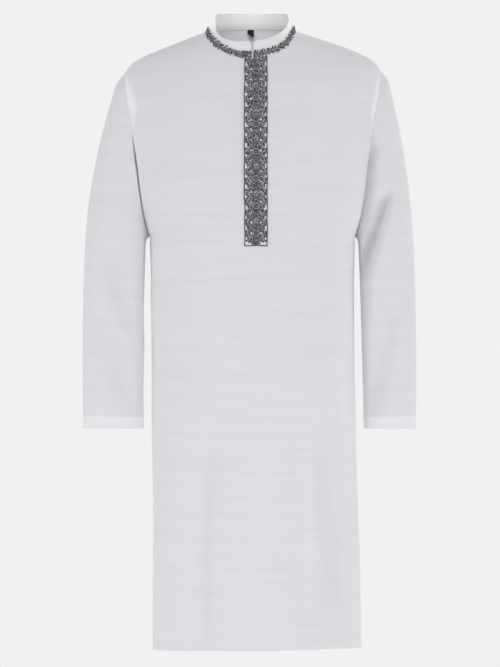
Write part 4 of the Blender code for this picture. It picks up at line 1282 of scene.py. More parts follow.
@dataclass
class Needle:
    """Turns laid threads into a mesh: one spindle set on each point by Geometry Nodes."""

    tree: bpy.types.GeometryNodeTree | None = None

    def nodes(self) -> bpy.types.GeometryNodeTree:
        """The node tree: inputs Spindle and Thread, realised instances out."""
        if self.tree is not None:
            return self.tree
        tree = bpy.data.node_groups.new("laid threads", "GeometryNodeTree")
        face = tree.interface
        for title, kind in (("Geometry", "Geometry"), ("Spindle", "Object"), ("Thread", "Material")):
            face.new_socket(title, in_out="INPUT", socket_type=f"NodeSocket{kind}")
        face.new_socket("Geometry", in_out="OUTPUT", socket_type="NodeSocketGeometry")
        given = add_node(tree, "NodeGroupInput")
        spindle = add_node(tree, "GeometryNodeObjectInfo", {"Object": given.outputs["Spindle"]})
        along, up, size = (
            add_node(tree, "GeometryNodeInputNamedAttribute", {"Name": name}, data_type="FLOAT_VECTOR")
            for name in ("along", "up", "size")
        )
        align = "FunctionNodeAlignRotationToVector"
        upright = add_node(tree, align, {"Vector": up.outputs[0]}, axis="Z")
        way = {"Rotation": upright.outputs[0], "Vector": along.outputs[0]}
        turned = add_node(tree, align, way, axis="X", pivot_axis="Z")
        places = {
            "Points": given.outputs["Geometry"],
            "Instance": spindle.outputs["Geometry"],
            "Rotation": turned.outputs[0],
            "Scale": size.outputs[0],
        }
        placed = add_node(tree, "GeometryNodeInstanceOnPoints", places)
        real = add_node(tree, "GeometryNodeRealizeInstances", {"Geometry": placed.outputs[0]})
        finish = {"Geometry": real.outputs[0], "Material": given.outputs["Thread"]}
        dressed = add_node(tree, "GeometryNodeSetMaterial", finish)
        add_node(tree, "NodeGroupOutput", {"Geometry": dressed.outputs[0]})
        self.tree = tree
        return tree

    def sew(self, name: str, threads: Threads, finish: Material) -> Object:
        """The threads as one plain mesh piece on the body.

        Args:
            name: The piece's name.
            threads: What is laid.
            finish: Its material.

        Returns:
            The piece.
        """
        spindle = put("spindle", Lens().mesh())
        points = put("points", threads.cloud("points"))
        modifier = points.modifiers.new("laid threads", "NODES")
        modifier.node_group = self.nodes()
        values = {"Spindle": spindle, "Thread": finish}
        for item in modifier.node_group.interface.items_tree:
            if item.item_type == "SOCKET" and item.in_out == "INPUT" and item.name in values:
                modifier[item.identifier] = values[item.name]
        graph = bpy.context.evaluated_depsgraph_get()
        mesh = bpy.data.meshes.new_from_object(
            points.evaluated_get(graph), preserve_all_data_layers=True, depsgraph=graph
        )
        mesh.name = name
        points.modifiers.remove(modifier)
        for helper in (spindle, points):
            bpy.data.objects.remove(helper)
        for title in ("along", "up", "size"):
            if title in mesh.attributes:
                mesh.attributes.remove(mesh.attributes[title])
        piece = put(name, mesh)
        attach(piece, BODY_NAME)
        LOG.info("%s: %d threads, %d faces", name, threads.count(), len(mesh.polygons))
        return piece


@dataclass(frozen=True)
class EmbroideryThread:
    """Grey viscose embroidery thread, hand couched: the eye gets small satin lights on dull
    mid-grey leaves, with darker gaps between them."""

    name: str = "grey viscose embroidery thread, couched"
    dark: str = "#2E2C31"
    light: str = "#D6D3D8"
    roughness: float = 0.55
    strand_mm: float = 0.35
    strand_strength: float = 0.5
    strand_height: float = 0.0002

    def material(self) -> Material:
        """The finish as a material; the attribute "tone" runs from dark to light."""
        finish, tree, shader = new_material(self.name)
        tone = add_node(tree, "ShaderNodeAttribute", attribute_name="tone")
        place = add_node(tree, "ShaderNodeTexCoord")
        pace = {"Vector": place.outputs["Object"], "Scale": 1 / (self.strand_mm * MM), "Detail": 1.0}
        strands = add_node(tree, "ShaderNodeTexNoise", pace)
        values = {
            "Base Color": mixed(tree, linear(self.dark), linear(self.light), tone.outputs["Fac"]),
            "Normal": relief(tree, strands.outputs["Fac"], self.strand_strength, self.strand_height),
            "Roughness": self.roughness,
            "Specular IOR Level": 0.35,
            "Sheen Weight": 0.1,
        }
        plug(tree, shader, values)
        return finish


@dataclass(frozen=True)
class SewingThread:
    """White polyester sewing thread: short, slightly glossy stitches a shade off the cloth."""

    name: str = "white spun polyester sewing thread"
    colour: str = "#DDDCE2"
    roughness: float = 0.6

    def material(self) -> Material:
        """The finish as a material."""
        finish, tree, shader = new_material(self.name)
        plug(tree, shader, {"Base Color": linear(self.colour), "Roughness": self.roughness})
        return finish


@dataclass(frozen=True)
class LabelTape:
    """Black satin-woven label tape: close ribs and a faint sheen on deep black."""

    name: str = "black polyester label tape, satin woven"
    colour: str = "#0A0A0B"
    rib_mm: float = 0.6
    rib_strength: float = 0.4
    rib_height: float = 0.0001
    roughness: float = 0.5

    def material(self) -> Material:
        """The finish as a material."""
        finish, tree, shader = new_material(self.name)
        place = add_node(tree, "ShaderNodeTexCoord")
        pace = {"Vector": place.outputs["Object"], "Scale": 1 / (self.rib_mm * MM) / 20 * math.pi}
        ribs = add_node(tree, "ShaderNodeTexWave", pace, bands_direction="Z")
        values = {
            "Base Color": linear(self.colour),
            "Normal": relief(tree, ribs.outputs["Fac"], self.rib_strength, self.rib_height),
            "Roughness": self.roughness,
            "Specular IOR Level": 0.1,
        }
        plug(tree, shader, values)
        return finish


# --- The pieces ---

FRONT_CREASES = (
    Fold(-0.206, -0.080, -0.184, -0.200, -0.0060, 0.0080),
    Fold(0.208, -0.080, 0.188, -0.190, -0.0050, 0.0070),
    Fold(-0.067, -0.690, -0.077, -1.090, 0.0140, 0.0220, 0.003),
    Fold(-0.040, -0.800, -0.036, -1.090, -0.0020, 0.0160),
    Fold(0.104, -0.670, 0.112, -1.020, 0.0180, 0.0270, -0.004),
    Fold(0.136, -0.820, 0.140, -1.090, 0.0120, 0.0200),
    Fold(-0.156, -0.430, -0.156, -0.800, 0.0075, 0.0100, 0.003),
    Fold(0.164, -0.520, 0.168, -0.780, 0.0050, 0.0080),
    Fold(-0.0172, -0.046, -0.0176, -0.315, 0.0011, 0.0011),
)
SLEEVE_LEFT_CREASES = (
    Fold(0.2360, -0.276, 0.1860, -0.420, 0.0270, 0.0190, -0.0035, 0.32),
    Fold(0.2080, -0.350, 0.1850, -0.436, 0.0110, 0.0150),
    Fold(0.2030, -0.188, 0.1880, -0.345, 0.0170, 0.0115),
    Fold(0.2450, -0.312, 0.1940, -0.446, -0.0055, 0.0085),
    Fold(0.2480, -0.440, 0.1960, -0.665, 0.0100, 0.0210, 0.003),
    Fold(0.2620, -0.180, 0.2260, -0.262, 0.0030, 0.0140),
)
SLEEVE_RIGHT_CREASES = (
    Fold(-0.2460, -0.375, -0.2060, -0.525, 0.0100, 0.0190),
    Fold(-0.2640, -0.478, -0.2100, -0.655, 0.0105, 0.0200, -0.002),
    Fold(-0.1940, -0.296, -0.1900, -0.362, 0.0070, 0.0070),
    Fold(-0.2300, -0.200, -0.2140, -0.300, 0.0025, 0.0140),
)
BACK_CREASES = (
    Fold(-0.206, -0.080, -0.184, -0.200, -0.0050, 0.0080),
    Fold(0.208, -0.080, 0.188, -0.190, -0.0050, 0.0070),
    Fold(0.070, -0.700, 0.082, -1.090, 0.0040, 0.0100, 0.004),
    Fold(-0.098, -0.780, -0.104, -1.090, 0.0036, 0.0110, -0.003),
    Fold(-0.030, -0.720, -0.024, -1.090, -0.0018, 0.0130),
    Fold(0.148, -0.560, 0.144, -0.840, 0.0028, 0.0110),
    Fold(-0.150, -0.520, -0.154, -0.800, 0.0026, 0.0100),
)


class Facing(NamedTuple):
    """Width of the folded seam allowance behind a panel's armhole edge, at a height."""

    z: float
    width: float


FACING = (
    Facing(z=-0.190, width=0.0015),
    Facing(z=-0.158, width=0.0065),
    Facing(z=-0.132, width=0.0120),
    Facing(z=-0.102, width=0.0090),
    Facing(z=-0.072, width=0.0010),
)


class Slot(Enum):
    """The record's material slots."""

    CLOTH = "white_slub_cloth"
    THREAD = "grey_embroidery_thread"
    TAPE = "black_label_tape"


class Cut(NamedTuple):
    """A cloth piece's flat size as cut to what shows, in metres and square metres."""

    width: float
    length: float
    area: float


def add_piece(mesh: Mesh, finish: Material) -> Object:
    """A shown piece from its mesh.

    Args:
        mesh: The finished mesh, in the frame's own place.
        finish: Its material.

    Returns:
        The object, named as the mesh and riding on the body.
    """
    mesh.materials.append(finish)
    mesh.shade_smooth()
    mesh.set_sharp_from_angle(angle=math.radians(SHARP_DEGREES))
    piece = put(mesh.name, mesh)
    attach(piece, BODY_NAME)
    LOG.info("%s: %d faces", mesh.name, len(mesh.polygons))
    return piece


def dress(piece: Object, node: str) -> None:
    """Hides the solid that a piece stands for."""
    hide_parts(node)


@dataclass
class Kurta:
    """The five sewn cloth pieces: front, back, sleeves and collar."""

    cloths: dict[str, Cloth]
    finish: Material
    # The collar's cloth: a darker copy of the white cotton, as painted shade.
    collar_painted_shade_cloth: Material
    turned: float = 0.0021
    band_margin: float = 0.0007
    slit_columns: tuple[int, ...] = (0, 1, 2, -3, -2, -1)
    narrow_facing: float = 0.55
    facing_edge: float = 0.004
    facing_white: float = 0.7
    cuff_white: float = 0.45
    # Painted shade on the collar: its inside gets at most this share of the lift to white, rising from
    # the seam, and the back's upper rim loses most of its lift.
    painted_shade_inside_lift: float = 0.32
    rim_from: float = 0.86
    rim_shade: float = 0.9
    rim_reach: float = 0.03
    painted_shade_inside_rise: float = 2.2
    facing_reach: float = 0.06

    def hem_thickness(self, cloth: Cloth) -> Array:
        """Wall of a panel: its hem and the edges of its side slits are turned in."""
        thickness = np.full(cloth.outer.shape[:2], SIZES.wall)
        height = cloth.outer[:, :, 2]
        thickness[height < SIZES.hem_z + SIZES.hem_band + self.band_margin] = self.turned
        below = cloth.outer[:, 0, 2] < SIZES.slit_top_z
        for column in self.slit_columns:
            thickness[below, column] = self.turned
        return thickness

    def cuff_thickness(self, cloth: Cloth, form: SleeveForm) -> Array:
        """Wall of a sleeve: its hem is turned in."""
        thickness = np.full(cloth.outer.shape[:2], SIZES.wall)
        thickness[form.steps() > form.band_at()] = self.turned
        return thickness

    def armhole_facing(self, cloth: Cloth) -> Array:
        """How far the folded seam allowance whitens a panel beside the top of its armholes."""
        x, z = cloth.outer[:, :, 0], cloth.outer[:, :, 2]
        edge = np.where(x < 0, x[:, :1], x[:, -1:])
        inside = np.abs(edge) - np.abs(x)
        width = smooth(FACING, "z", "width", z) * np.where(x < 0, 1.0, self.narrow_facing)
        across = 1 - ease((inside - width) / self.facing_edge + 0.5)
        along = ease((z - FACING[0].z) / self.facing_reach)
        return self.facing_white * across * along

    def collar_painted_shade(self, collar: Cloth) -> tuple[Array, Array]:
        """How far the collar's outer and inner side are lifted to white from its darker cloth, which
        paints shade where they are not.

        Args:
            collar: The collar's cloth.

        Returns:
            Two arrays of rows by columns; painted shade stays inside the band, lightening upwards from
            the seam, and on the back's upper rim.
        """
        rise = np.linspace(0, 1, len(collar.outer))[:, None]
        behind = ease(collar.outer[..., 1] / self.rim_reach)
        rim = ease((rise - self.rim_from) / (1 - self.rim_from)) * behind
        inside_lift_in_painted_shade = self.painted_shade_inside_lift * ease(self.painted_shade_inside_rise * rise) * (1 - rim)
        return 1 - self.rim_shade * rim, inside_lift_in_painted_shade

    def slit(self, front: Cloth) -> Array:
        """Cells of the front that the neck opening cuts away."""
        cells = np.zeros((front.outer.shape[0] - 1, front.outer.shape[1] - 1), bool)
        middle = front.outer.shape[1] // 2
        cells[front.outer[:-1, middle, 2] > SIZES.slit_bottom_z, middle - 1] = True
        return cells

    def build(self, sleeves: dict[str, SleeveForm], collar: CollarForm) -> None:
        """All five pieces."""
        meshes = {}
        for node, cut in (("front", self.slit(self.cloths["front"])), ("back", None)):
            cloth = self.cloths[node]
            facing = self.armhole_facing(cloth)
            meshes[node] = cloth.mesh(f"kurta_{node}", self.hem_thickness(cloth), cut, facing)
        cloth = self.cloths["collar"]
        # The collar's lift to white from its darker cloth, with painted shade inside and on the back's
        # upper rim.
        meshes["collar"] = cloth.mesh("kurta_collar", collar.wall, None, *self.collar_painted_shade(cloth))
        for node, form in sleeves.items():
            cloth = self.cloths[node]
            thickness = self.cuff_thickness(cloth, form)
            white = self.cuff_white * (thickness > SIZES.wall)
            meshes[node] = cloth.mesh(f"kurta_{node}", thickness, None, white)
        for node, mesh in meshes.items():
            finish = self.collar_painted_shade_cloth if node == "collar" else self.finish
            dress(add_piece(mesh, finish), node)


@dataclass
class Placket:
    """The embroidered strip over the opening, and the plain strip behind it."""

    front: Cloth
    gap: float = 0.0004
    wall: float = 0.0010
    # The strip behind the opening, and the height down to which the outer strip is open.
    under_right_x: float = -0.0257
    under_left_x: float = 0.0139
    under_bottom_z: float = -0.345
    open_to_z: float = -0.056
    near: float = MM / 10
    level_step: float = 2 * MM

    def block(self, right_x: float, left_x: float, low_z: float, top_row: int) -> tuple:
        """Rows and columns of the front's grid that a strip covers."""
        across = self.front.outer[-1, :, 0]
        columns = np.flatnonzero((across > right_x - self.near) & (across < left_x + self.near))
        heights = self.front.outer[:, columns[0], 2]
        rows = np.flatnonzero(heights > low_z - MM)
        rows = rows[rows <= len(heights) + top_row]
        return np.ix_(rows, columns)

    def cover(self) -> Cloth:
        """The outer strip's cloth."""
        block = self.block(SIZES.placket_right_x, SIZES.placket_left_x, SIZES.placket_bottom_z, -1)
        raised = self.front.outer + self.front.normals * (self.gap + self.wall)
        cover = Cloth(raised[block])
        cover.normals = self.front.normals[block]
        return cover

    def patch(self, cover: Cloth) -> Patch:
        """The outer strip spread flat, by X and Z."""
        across = cover.outer[-1, :, 0]
        up = np.arange(SIZES.placket_bottom_z, cover.outer[-1, :, 2].max(), self.level_step)
        points, normals = (
            np.stack(
                [read_line(up, cover.outer[:, c, 2], grid[:, c]) for c in range(len(across))], axis=1
            )
            for grid in (cover.outer, cover.normals)
        )
        points[:, :, 2] = up[:, None]
        return Patch(across, up, points, normals)

    def build(self, finish: Material, inner: Array) -> Cloth:
        """Both strips.

        Args:
            finish: The cloth.
            inner: The front's inner points.

        Returns:
            The outer strip's cloth, which carries the embroidery.
        """
        cover = self.cover()
        middle = cover.outer.shape[1]
        gap_column = int(np.flatnonzero(cover.outer[-1, :, 0] > 0)[0]) - 1
        cut = np.zeros((cover.outer.shape[0] - 1, middle - 1), bool)
        cut[cover.outer[:-1, gap_column, 2] > self.open_to_z, gap_column] = True
        mesh = cover.mesh("placket_strip", self.wall, cut)
        dress(add_piece(mesh, finish), "placket")
        block = self.block(self.under_right_x, self.under_left_x, self.under_bottom_z, -2)
        normals = self.front.normals[block]
        under = Cloth(inner[block] - normals * self.gap)
        under.normals = normals
        strip = add_piece(under.mesh("placket_under_strip", self.wall), finish)
        dress(strip, "placket_under")
        return cover


@dataclass
class PlacketEmbroidery:
    """Leaf vines on both sides of a column of ringed flowers and leaf fans, in a couched border."""

    patch: Patch
    top_x: Array
    top_z: Array
    seed: int = 7
    top_margin: float = 0.5 * MM
    point_mm: tuple[float, float] = (1.4, 8.0)
    opening_half: float = 0.6 * MM
    opening_low_z: float = -0.053
    line_step: float = MM
    cord_top_z: float = -0.030
    cord_pitch: float = 0.95 * MM
    border_inset: float = 0.0010
    border_wander: float = 0.0009
    border_wave: float = 0.3 * MM
    arch: float = 0.8 * MM
    wide_top_z: float = -0.078
    wide_low_z: float = -0.308
    wide_reach: float = 0.03
    frame_at: float = 0.0062
    frame_low_mm: float = 16.0
    motif_pitch: float = 0.0232
    first_motif_z: float = -0.0735
    last_motif_mm: float = 18.0
    open_pitch: float = 0.0176
    vine_at: float = 0.0122
    vine_swing: float = 0.0024
    vine_pitch: float = 0.0176
    vine_top_z: float = -0.036
    leaf_lean: float = 0.85
    seed_top_z: float = -0.034
    # The lengths of leaves and veins are the longest; each is laid at a length of its own.
    border_cord: Stitch = stitch(2.9, 1.75, 1.3, 0.35, 0.08)
    frame_cord: Stitch = stitch(1.7, 0.7, 0.9, 0.6, 0.5)
    petal: Stitch = stitch(3.2, 1.7, 1.2, 0.5, 0.05)
    knot: Stitch = stitch(2.1, 1.5, 1.4, 0.9, 1.0)
    ring: Stitch = stitch(2.1, 1.05, 1.0, 0.7, 1.0)
    pair: Stitch = stitch(2.4, 1.3, 1.0, 0.5, 0.0)
    fan_leaf: Stitch = stitch(6.4, 1.9, 1.1, 0.4, 0.05)
    fan_vein: Stitch = stitch(6.4, 1.0, 0.7, 0.85, 1.0)
    fan_foot: Stitch = stitch(4.2, 1.15, 1.0, 0.7, 0.95)
    stem: Stitch = stitch(1.9, 1.0, 0.9, 0.7)
    leaf: Stitch = stitch(6.2, 2.2, 1.1, 0.35)
    vein: Stitch = stitch(6.2, 0.85, 0.7, 0.85, 0.9)
    filling: Stitch = stitch(2.9, 1.7, 0.7, 0.15)
    threads: Threads = field(default_factory=Threads)

    @property
    def middle(self) -> float:
        """The strip's middle line."""
        return (SIZES.placket_left_x + SIZES.placket_right_x) / 2

    @property
    def half(self) -> float:
        """Half of the strip's width."""
        return (SIZES.placket_left_x - SIZES.placket_right_x) / 2

    def inside(self, a: Array, z: Array) -> Array:
        """Whether places lie below the neckline, clear of the opening and of the pointed end."""
        top = np.interp(a + self.middle, self.top_x, self.top_z)
        h = z - SIZES.placket_bottom_z
        point = self.point_mm[0] * MM + self.point_mm[1] * MM * np.abs(a) / self.half
        opening = (np.abs(a + self.middle) < self.opening_half) & (z > self.opening_low_z)
        return (z < top - self.top_margin) & (h > point) & ~opening

    def lay(self, a: Array, z: Array, angle: Array | float, laid: Stitch) -> None:
        """Lays threads given from the strip's middle line, and drops those outside the work."""
        a = np.atleast_1d(a).astype(float)
        z = np.broadcast_to(z, a.shape)
        keep = self.inside(a, z)
        turn = np.broadcast_to(angle, a.shape)[keep]
        kept = Stitch(*(np.broadcast_to(value, a.shape)[keep] for value in laid))
        self.threads.lay(self.patch, a[keep] + self.middle, z[keep], turn, kept)

    def spread(self, z: float, turn: Array, reach: Array | float, lean: float, laid: Stitch) -> None:
        """Lays threads round a place on the middle line, at a reach along each direction."""
        self.lay(reach * np.cos(turn), z + reach * np.sin(turn), turn + lean, laid)

    def cord(self, across: Array, up: Array, laid: Stitch, slant: float, shown: Array | bool) -> None:
        """A cord up the strip, hidden above the neckline and where it isn't shown."""
        top = np.interp(across, self.top_x, self.top_z)
        keep = ((up < top - MM) & shown).astype(float)
        self.threads.rope(self.patch, across, up, self.cord_pitch, laid, slant, keep)

    def border(self) -> None:
        """The thick couched cord round the edge, a little uneven; it runs wider at the right."""
        low = SIZES.placket_bottom_z + self.border_inset
        up = np.arange(low, self.cord_top_z, self.line_step)
        reach = self.half - self.border_inset
        below = ease((self.wide_top_z - up) / self.wide_reach)
        wide = self.border_wander * below * ease((up - self.wide_low_z) / self.wide_reach)
        for side in (-1, 1):
            wander = self.border_wave * np.sin(up / MM / 7 + side) + wide * (side < 0)
            across = self.middle + side * (reach + wander)
            self.cord(across, up, self.border_cord, 0.6 * side, True)
        a = np.linspace(-reach, reach, 60)
        arch = low + self.arch * (1 - (a / reach) ** 2)
        self.threads.rope(self.patch, a + self.middle, arch, self.cord_pitch, self.border_cord, 0.6)

    def frame(self) -> None:
        """Two thin cords that frame the middle column, light in short runs only."""
        low = SIZES.placket_bottom_z + self.frame_low_mm * MM
        up = np.arange(low, self.cord_top_z, self.line_step)
        lit = np.sin(2 * math.pi * up / self.motif_pitch * 1.5) > 0.1
        for side in (-1, 1):
            across = self.middle + side * (self.frame_at + self.border_wave * np.sin(up / MM / 2.6))
            self.cord(across, up, self.frame_cord, 0.5 * side, lit)

    def middle_column(self) -> None:
        """Ringed flowers and leaf fans by turns, down the middle."""
        last = SIZES.placket_bottom_z + self.last_motif_mm * MM
        heights = np.arange(self.first_motif_z, last, -self.motif_pitch)
        for z in heights[0::2]:
            self.flower(z)
        for z in heights[1::2]:
            self.fan(z)

    def flower(self, z: float) -> None:
        """Eight dark petals round a light knot, in a ring of light stitches, with pairs beyond."""
        self.spread(z, np.arange(8) * math.pi / 4 + math.pi / 8, 2.5 * MM, 0.0, self.petal)
        self.lay(np.zeros(2), z, np.array([0.4, 2.0]), self.knot)
        self.spread(z, np.arange(14) * math.pi / 7, 4.6 * MM, math.pi / 2, self.ring)
        for away in (6.6 * MM, 8.6 * MM):
            for place, turns in ((z + away, [0.9, 2.2]), (z - away, [2.2, 0.9])):
                self.lay(np.array([-0.8, 0.8]) * MM, place, np.array(turns), self.pair)

    def fan(self, z: float) -> None:
        """Seven leaves spread from one point, the longest upright, over a small pair below."""
        from_middle = np.arange(-3, 4)
        turn = math.pi / 2 + from_middle * 0.48
        length = 6.4 - 0.55 * np.abs(from_middle)
        reach = (length / 2 + 0.8) * MM
        for laid, share in ((self.fan_leaf, 1.0), (self.fan_vein, 0.8)):
            self.spread(z - 2.4 * MM, turn, reach, 0.0, laid._replace(length=length * share * MM))
        low = np.array([-0.75, 0.75]) - math.pi / 2
        self.spread(z - 3.2 * MM, low, 2.8 * MM, 0.0, self.fan_foot)

    def open_spots(self, a: Array, z: Array, grow: float = 0.0) -> Array:
        """Whether places lie in the openings that show the bare cloth, grown by a distance.

        The openings at the border widen downwards.
        """
        turns = z / self.open_pitch
        above = (turns % 1 - 0.5) * self.open_pitch
        tall = np.where(np.floor(turns) % 2 == 0, 3.9 * MM, 2.3 * MM) + grow
        wide = np.clip(4.4 * MM - 0.28 * above, 3.3 * MM, 5.6 * MM) + grow
        at_border = (np.abs(a) > self.half - wide) & (np.abs(above) < tall)
        inner = np.abs((turns + 0.5) % 1 - 0.5) * self.open_pitch
        at_frame = (np.abs(np.abs(a) - 8.5 * MM) < 1.0 * MM + grow) & (inner < 1.6 * MM + grow)
        return at_border | at_frame

    def vines(self) -> None:
        """The winding stems of both side columns, with their leaves."""
        for side in (-1, 1):
            draw = np.random.default_rng(self.seed)
            z = np.arange(SIZES.placket_bottom_z + 8 * MM, self.vine_top_z, self.line_step)
            phase = 2 * math.pi * z / self.vine_pitch + 0.9
            a = side * (self.vine_at + self.vine_swing * np.sin(phase))
            way = np.arctan2(np.gradient(z), np.gradient(a))
            self.lay(a, z, way + 0.35, self.stem._replace(tone=0.75 + 0.25 * np.sin(z / MM * 0.7)))
            at = np.arange(2, len(z), 3)
            hand = side * np.where(np.arange(len(at)) % 2 == 0, 1, -1)
            lean = self.leaf_lean + draw.uniform(-0.15, 0.15, len(at))
            turn = way[at] + hand * lean
            outer_room = self.half - 2.6 * MM - np.abs(a[at])
            inner_room = np.abs(a[at]) - self.frame_at - 0.6 * MM
            room = np.where(hand * side < 0, outer_room, inner_room)
            length = np.clip(room / np.sin(lean), 3.0 * MM, 6.2 * MM) / MM
            reach = (length / 2 + 0.3) * MM
            tone = draw.uniform(0.0, 0.25, len(at))
            place = (a[at] + reach * np.cos(turn), z[at] + reach * np.sin(turn))
            clear = ~self.open_spots(*place, -0.3 * MM)
            veined = clear & (draw.random(len(at)) < 0.6)
            leaf = self.leaf._replace(length=length[clear] * MM, tone=tone[clear])
            self.lay(place[0][clear], place[1][clear], turn[clear], leaf)
            vein = self.vein._replace(length=length[veined] * 0.75 * MM)
            self.lay(place[0][veined], place[1][veined], turn[veined], vein)

    def seeds(self) -> None:
        """Small filling stitches between the motifs, left out at the open spots."""
        draw = np.random.default_rng(self.seed + 1)
        a, z = np.meshgrid(
            np.arange(-self.half + 2.4 * MM, self.half - 2.3 * MM, 1.45 * MM),
            np.arange(SIZES.placket_bottom_z + 2 * MM, self.seed_top_z, 1.6 * MM),
        )
        a = a.reshape(-1) + draw.uniform(-0.5, 0.5, a.size) * MM
        z = z.reshape(-1) + draw.uniform(-0.6, 0.6, z.size) * MM
        keep = ~self.open_spots(a, z, 0.35 * MM)
        a, z = a[keep], z[keep]
        turn = draw.choice([0.7, 2.3], len(a)) + draw.uniform(-0.4, 0.4, len(a))
        self.lay(a, z, turn, self.filling._replace(tone=draw.uniform(0.0, 0.18, len(a))))

    def build(self, needle: Needle, finish: Material) -> None:
        """The whole embroidery of the strip as one piece."""
        self.border()
        self.frame()
        self.middle_column()
        self.vines()
        self.seeds()
        piece = needle.sew("placket_thread_work", self.threads, finish)
        dress(piece, "placket_embroidery")


@dataclass
class Garland:
    """A leaf vine round the collar's foot, its lower leaves lying over the seam."""

    patch: Patch
    seed: int = 11
    stem_at: float = 0.0044
    swing: float = 0.0015
    wave: float = 0.0115
    line_step: float = 0.8 * MM
    stem_inset: float = 2.2 * MM
    stem_pitch: float = 1.05 * MM
    leaf_pitch: float = 1.7 * MM
    leaf_inset: float = 0.7 * MM
    ground_inset: float = 0.2 * MM
    veined_share: float = 0.35
    # The lengths of leaves and veins are the longest.
    cord: Stitch = stitch(1.9, 0.9, 1.0, 1.2, 0.4)
    leaf: Stitch = stitch(8.8, 2.5, 1.2, 1.0)
    vein: Stitch = stitch(6.2, 0.45, 0.8, 1.5, 0.95)
    filling: Stitch = stitch(2.6, 1.3, 0.9, 0.7)
    end_stitch: Stitch = stitch(2.9, 1.5, 1.0, 0.6)
    threads: Threads = field(default_factory=Threads)

    @property
    def end(self) -> float:
        """Length of the neck seam."""
        return self.patch.across[-1]

    def stem(self, s: Array) -> Array:
        """Height of the winding stem above the seam."""
        return self.stem_at + self.swing * np.sin(2 * math.pi * s / self.wave)

    def raised(self, s: Array, h: Array) -> Array:
        """Heights kept further up the collar at the front and the wearer's left, lower at the right.

        They drop again towards the wearer's left neck point.
        """
        point = self.patch.frame(s, h)[0]
        x = point[:, 0]
        middle = 2.4 * MM * np.exp(-((x / 0.032) ** 2)) + 2.2 * MM * np.exp(-((x / 0.012) ** 2))
        sides = 2.3 * ease((x - 0.004) / 0.030) - 1.9 * ease((-x - 0.050) / 0.014)
        sides = sides - 2.8 * ease((x - 0.058) / 0.012)
        return h + sides * MM + middle * (point[:, 1] < 0)

    def leftward(self, s: Array) -> Array:
        """How far places lie at the wearer's left, where the garland is narrower, from 0 to 1."""
        return ease((self.patch.frame(s, self.stem(s))[0][:, 0] - 0.04) / 0.03)

    def stem_cord(self) -> None:
        """The winding stem."""
        run = np.arange(self.stem_inset, self.end - self.stem_inset, self.line_step)
        up = self.raised(run, self.stem(run))
        self.threads.rope(self.patch, run, up, self.stem_pitch, self.cord, 0.5)

    def leaves(self, draw: np.random.Generator) -> None:
        """Leaves to both sides of the stem by turns, some with a light vein."""
        at = np.arange(-5 * MM, self.end - 3 * MM, self.leaf_pitch)
        at = at + draw.uniform(-0.5, 0.5, len(at)) * MM
        hand = np.where(np.arange(len(at)) % 2 == 0, 1.0, -1.0)
        lean = hand * (0.9 + draw.uniform(-0.4, 0.4, len(at)))
        length = draw.uniform(6.4, 8.8, len(at)) * MM
        length = length * (1 - 0.2 * self.leftward(at))
        reach = length / 2 + 0.4 * MM
        s = at + reach * np.cos(lean)
        h = self.raised(at, self.stem(at)) + reach * np.sin(lean)
        inside = (s > self.leaf_inset) & (s < self.end - self.leaf_inset)
        s, h, lean, length = s[inside], h[inside], lean[inside], length[inside]
        leaf = self.leaf._replace(length=length, tone=draw.uniform(0.0, 0.22, len(s)))
        self.threads.lay(self.patch, s, h, lean, leaf)
        veined = draw.random(len(s)) < self.veined_share
        vein = self.vein._replace(length=length[veined] * 0.7)
        self.threads.lay(self.patch, s[veined], h[veined], lean[veined], vein)

    def ground(self, draw: np.random.Generator) -> None:
        """Filling stitches behind the leaves, closer together at the front."""
        end = self.end
        front = np.array([0.1 * MM, 17.0 * MM])
        nearly = [np.arange(*front, 0.22 * MM), np.arange(*(end - front[::-1]), 0.22 * MM)]
        a = np.concatenate([np.arange(self.ground_inset, end - self.ground_inset, 0.45 * MM), *nearly])
        side = self.leftward(a)
        low = self.stem(a) - (4.3 - 1.2 * side) * MM
        low = low - 1.8 * MM * (a < 15 * MM) - 2.3 * MM * (end - a < 34 * MM)
        high = self.raised(a, self.stem(a)) + (4.2 - 0.9 * side) * MM
        u = low + (high - low) * draw.random(len(a))
        turn = draw.choice([0.7, 2.3], len(a)) + draw.uniform(-0.5, 0.5, len(a))
        laid = self.filling._replace(tone=draw.uniform(0.0, 0.35, len(a)))
        self.threads.lay(self.patch, a, u, turn, laid)

    def ends(self, draw: np.random.Generator) -> None:
        """A close row of stitches at each end of the collar."""
        for place, slant in ((self.ground_inset, 0.5), (self.end - self.ground_inset, math.pi - 0.5)):
            top = self.raised(np.array([place]), self.stem_at)[0] + 3.4 * MM
            u = np.arange(-4.5 * MM, top, self.line_step)
            turn = slant + draw.uniform(-0.4, 0.4, len(u))
            laid = self.end_stitch._replace(tone=draw.uniform(0.0, 0.15, len(u)))
            self.threads.lay(self.patch, place + 0 * u, u, turn, laid)

    def build(self, needle: Needle, finish: Material) -> None:
        """The whole garland as one piece."""
        draw = np.random.default_rng(self.seed)
        self.stem_cord()
        self.leaves(draw)
        self.ground(draw)
        self.ends(draw)
        piece = needle.sew("collar_garland", self.threads, finish)
        dress(piece, "neck_embroidery")


def garland_patch(tailor: Tailor, cloths: dict[str, Cloth]) -> Patch:
    """The collar's foot and a strip of the panels below it, spread flat along the neck seam."""
    front, back, collar = cloths["front"], cloths["back"], cloths["collar"]
    pairs = tailor.neck_pairs(front.outer.shape[1], back.outer.shape[1])
    own = tailor.seam_columns(collar.outer.shape[1])
    up = np.arange(-7, 16.5, 0.75) * MM
    below = 30
    columns = []
    for column, (f, b) in zip(own, pairs):
        panel, place = (front, f) if f is not None else (back, b)
        line = np.concatenate([panel.outer[-below:, place], collar.outer[1:, column]])
        facing = np.concatenate([panel.normals[-below:, place], collar.own[1:, column]])
        run = run_along(line)
        run -= run[below - 1]
        columns.append([read_line(up, run, grid) for grid in (line, facing)])
    points = np.stack([c[0] for c in columns], axis=1)
    normals = unit(np.stack([c[1] for c in columns], axis=1))
    return Patch(run_along(collar.outer[0][own]), up, points, normals)


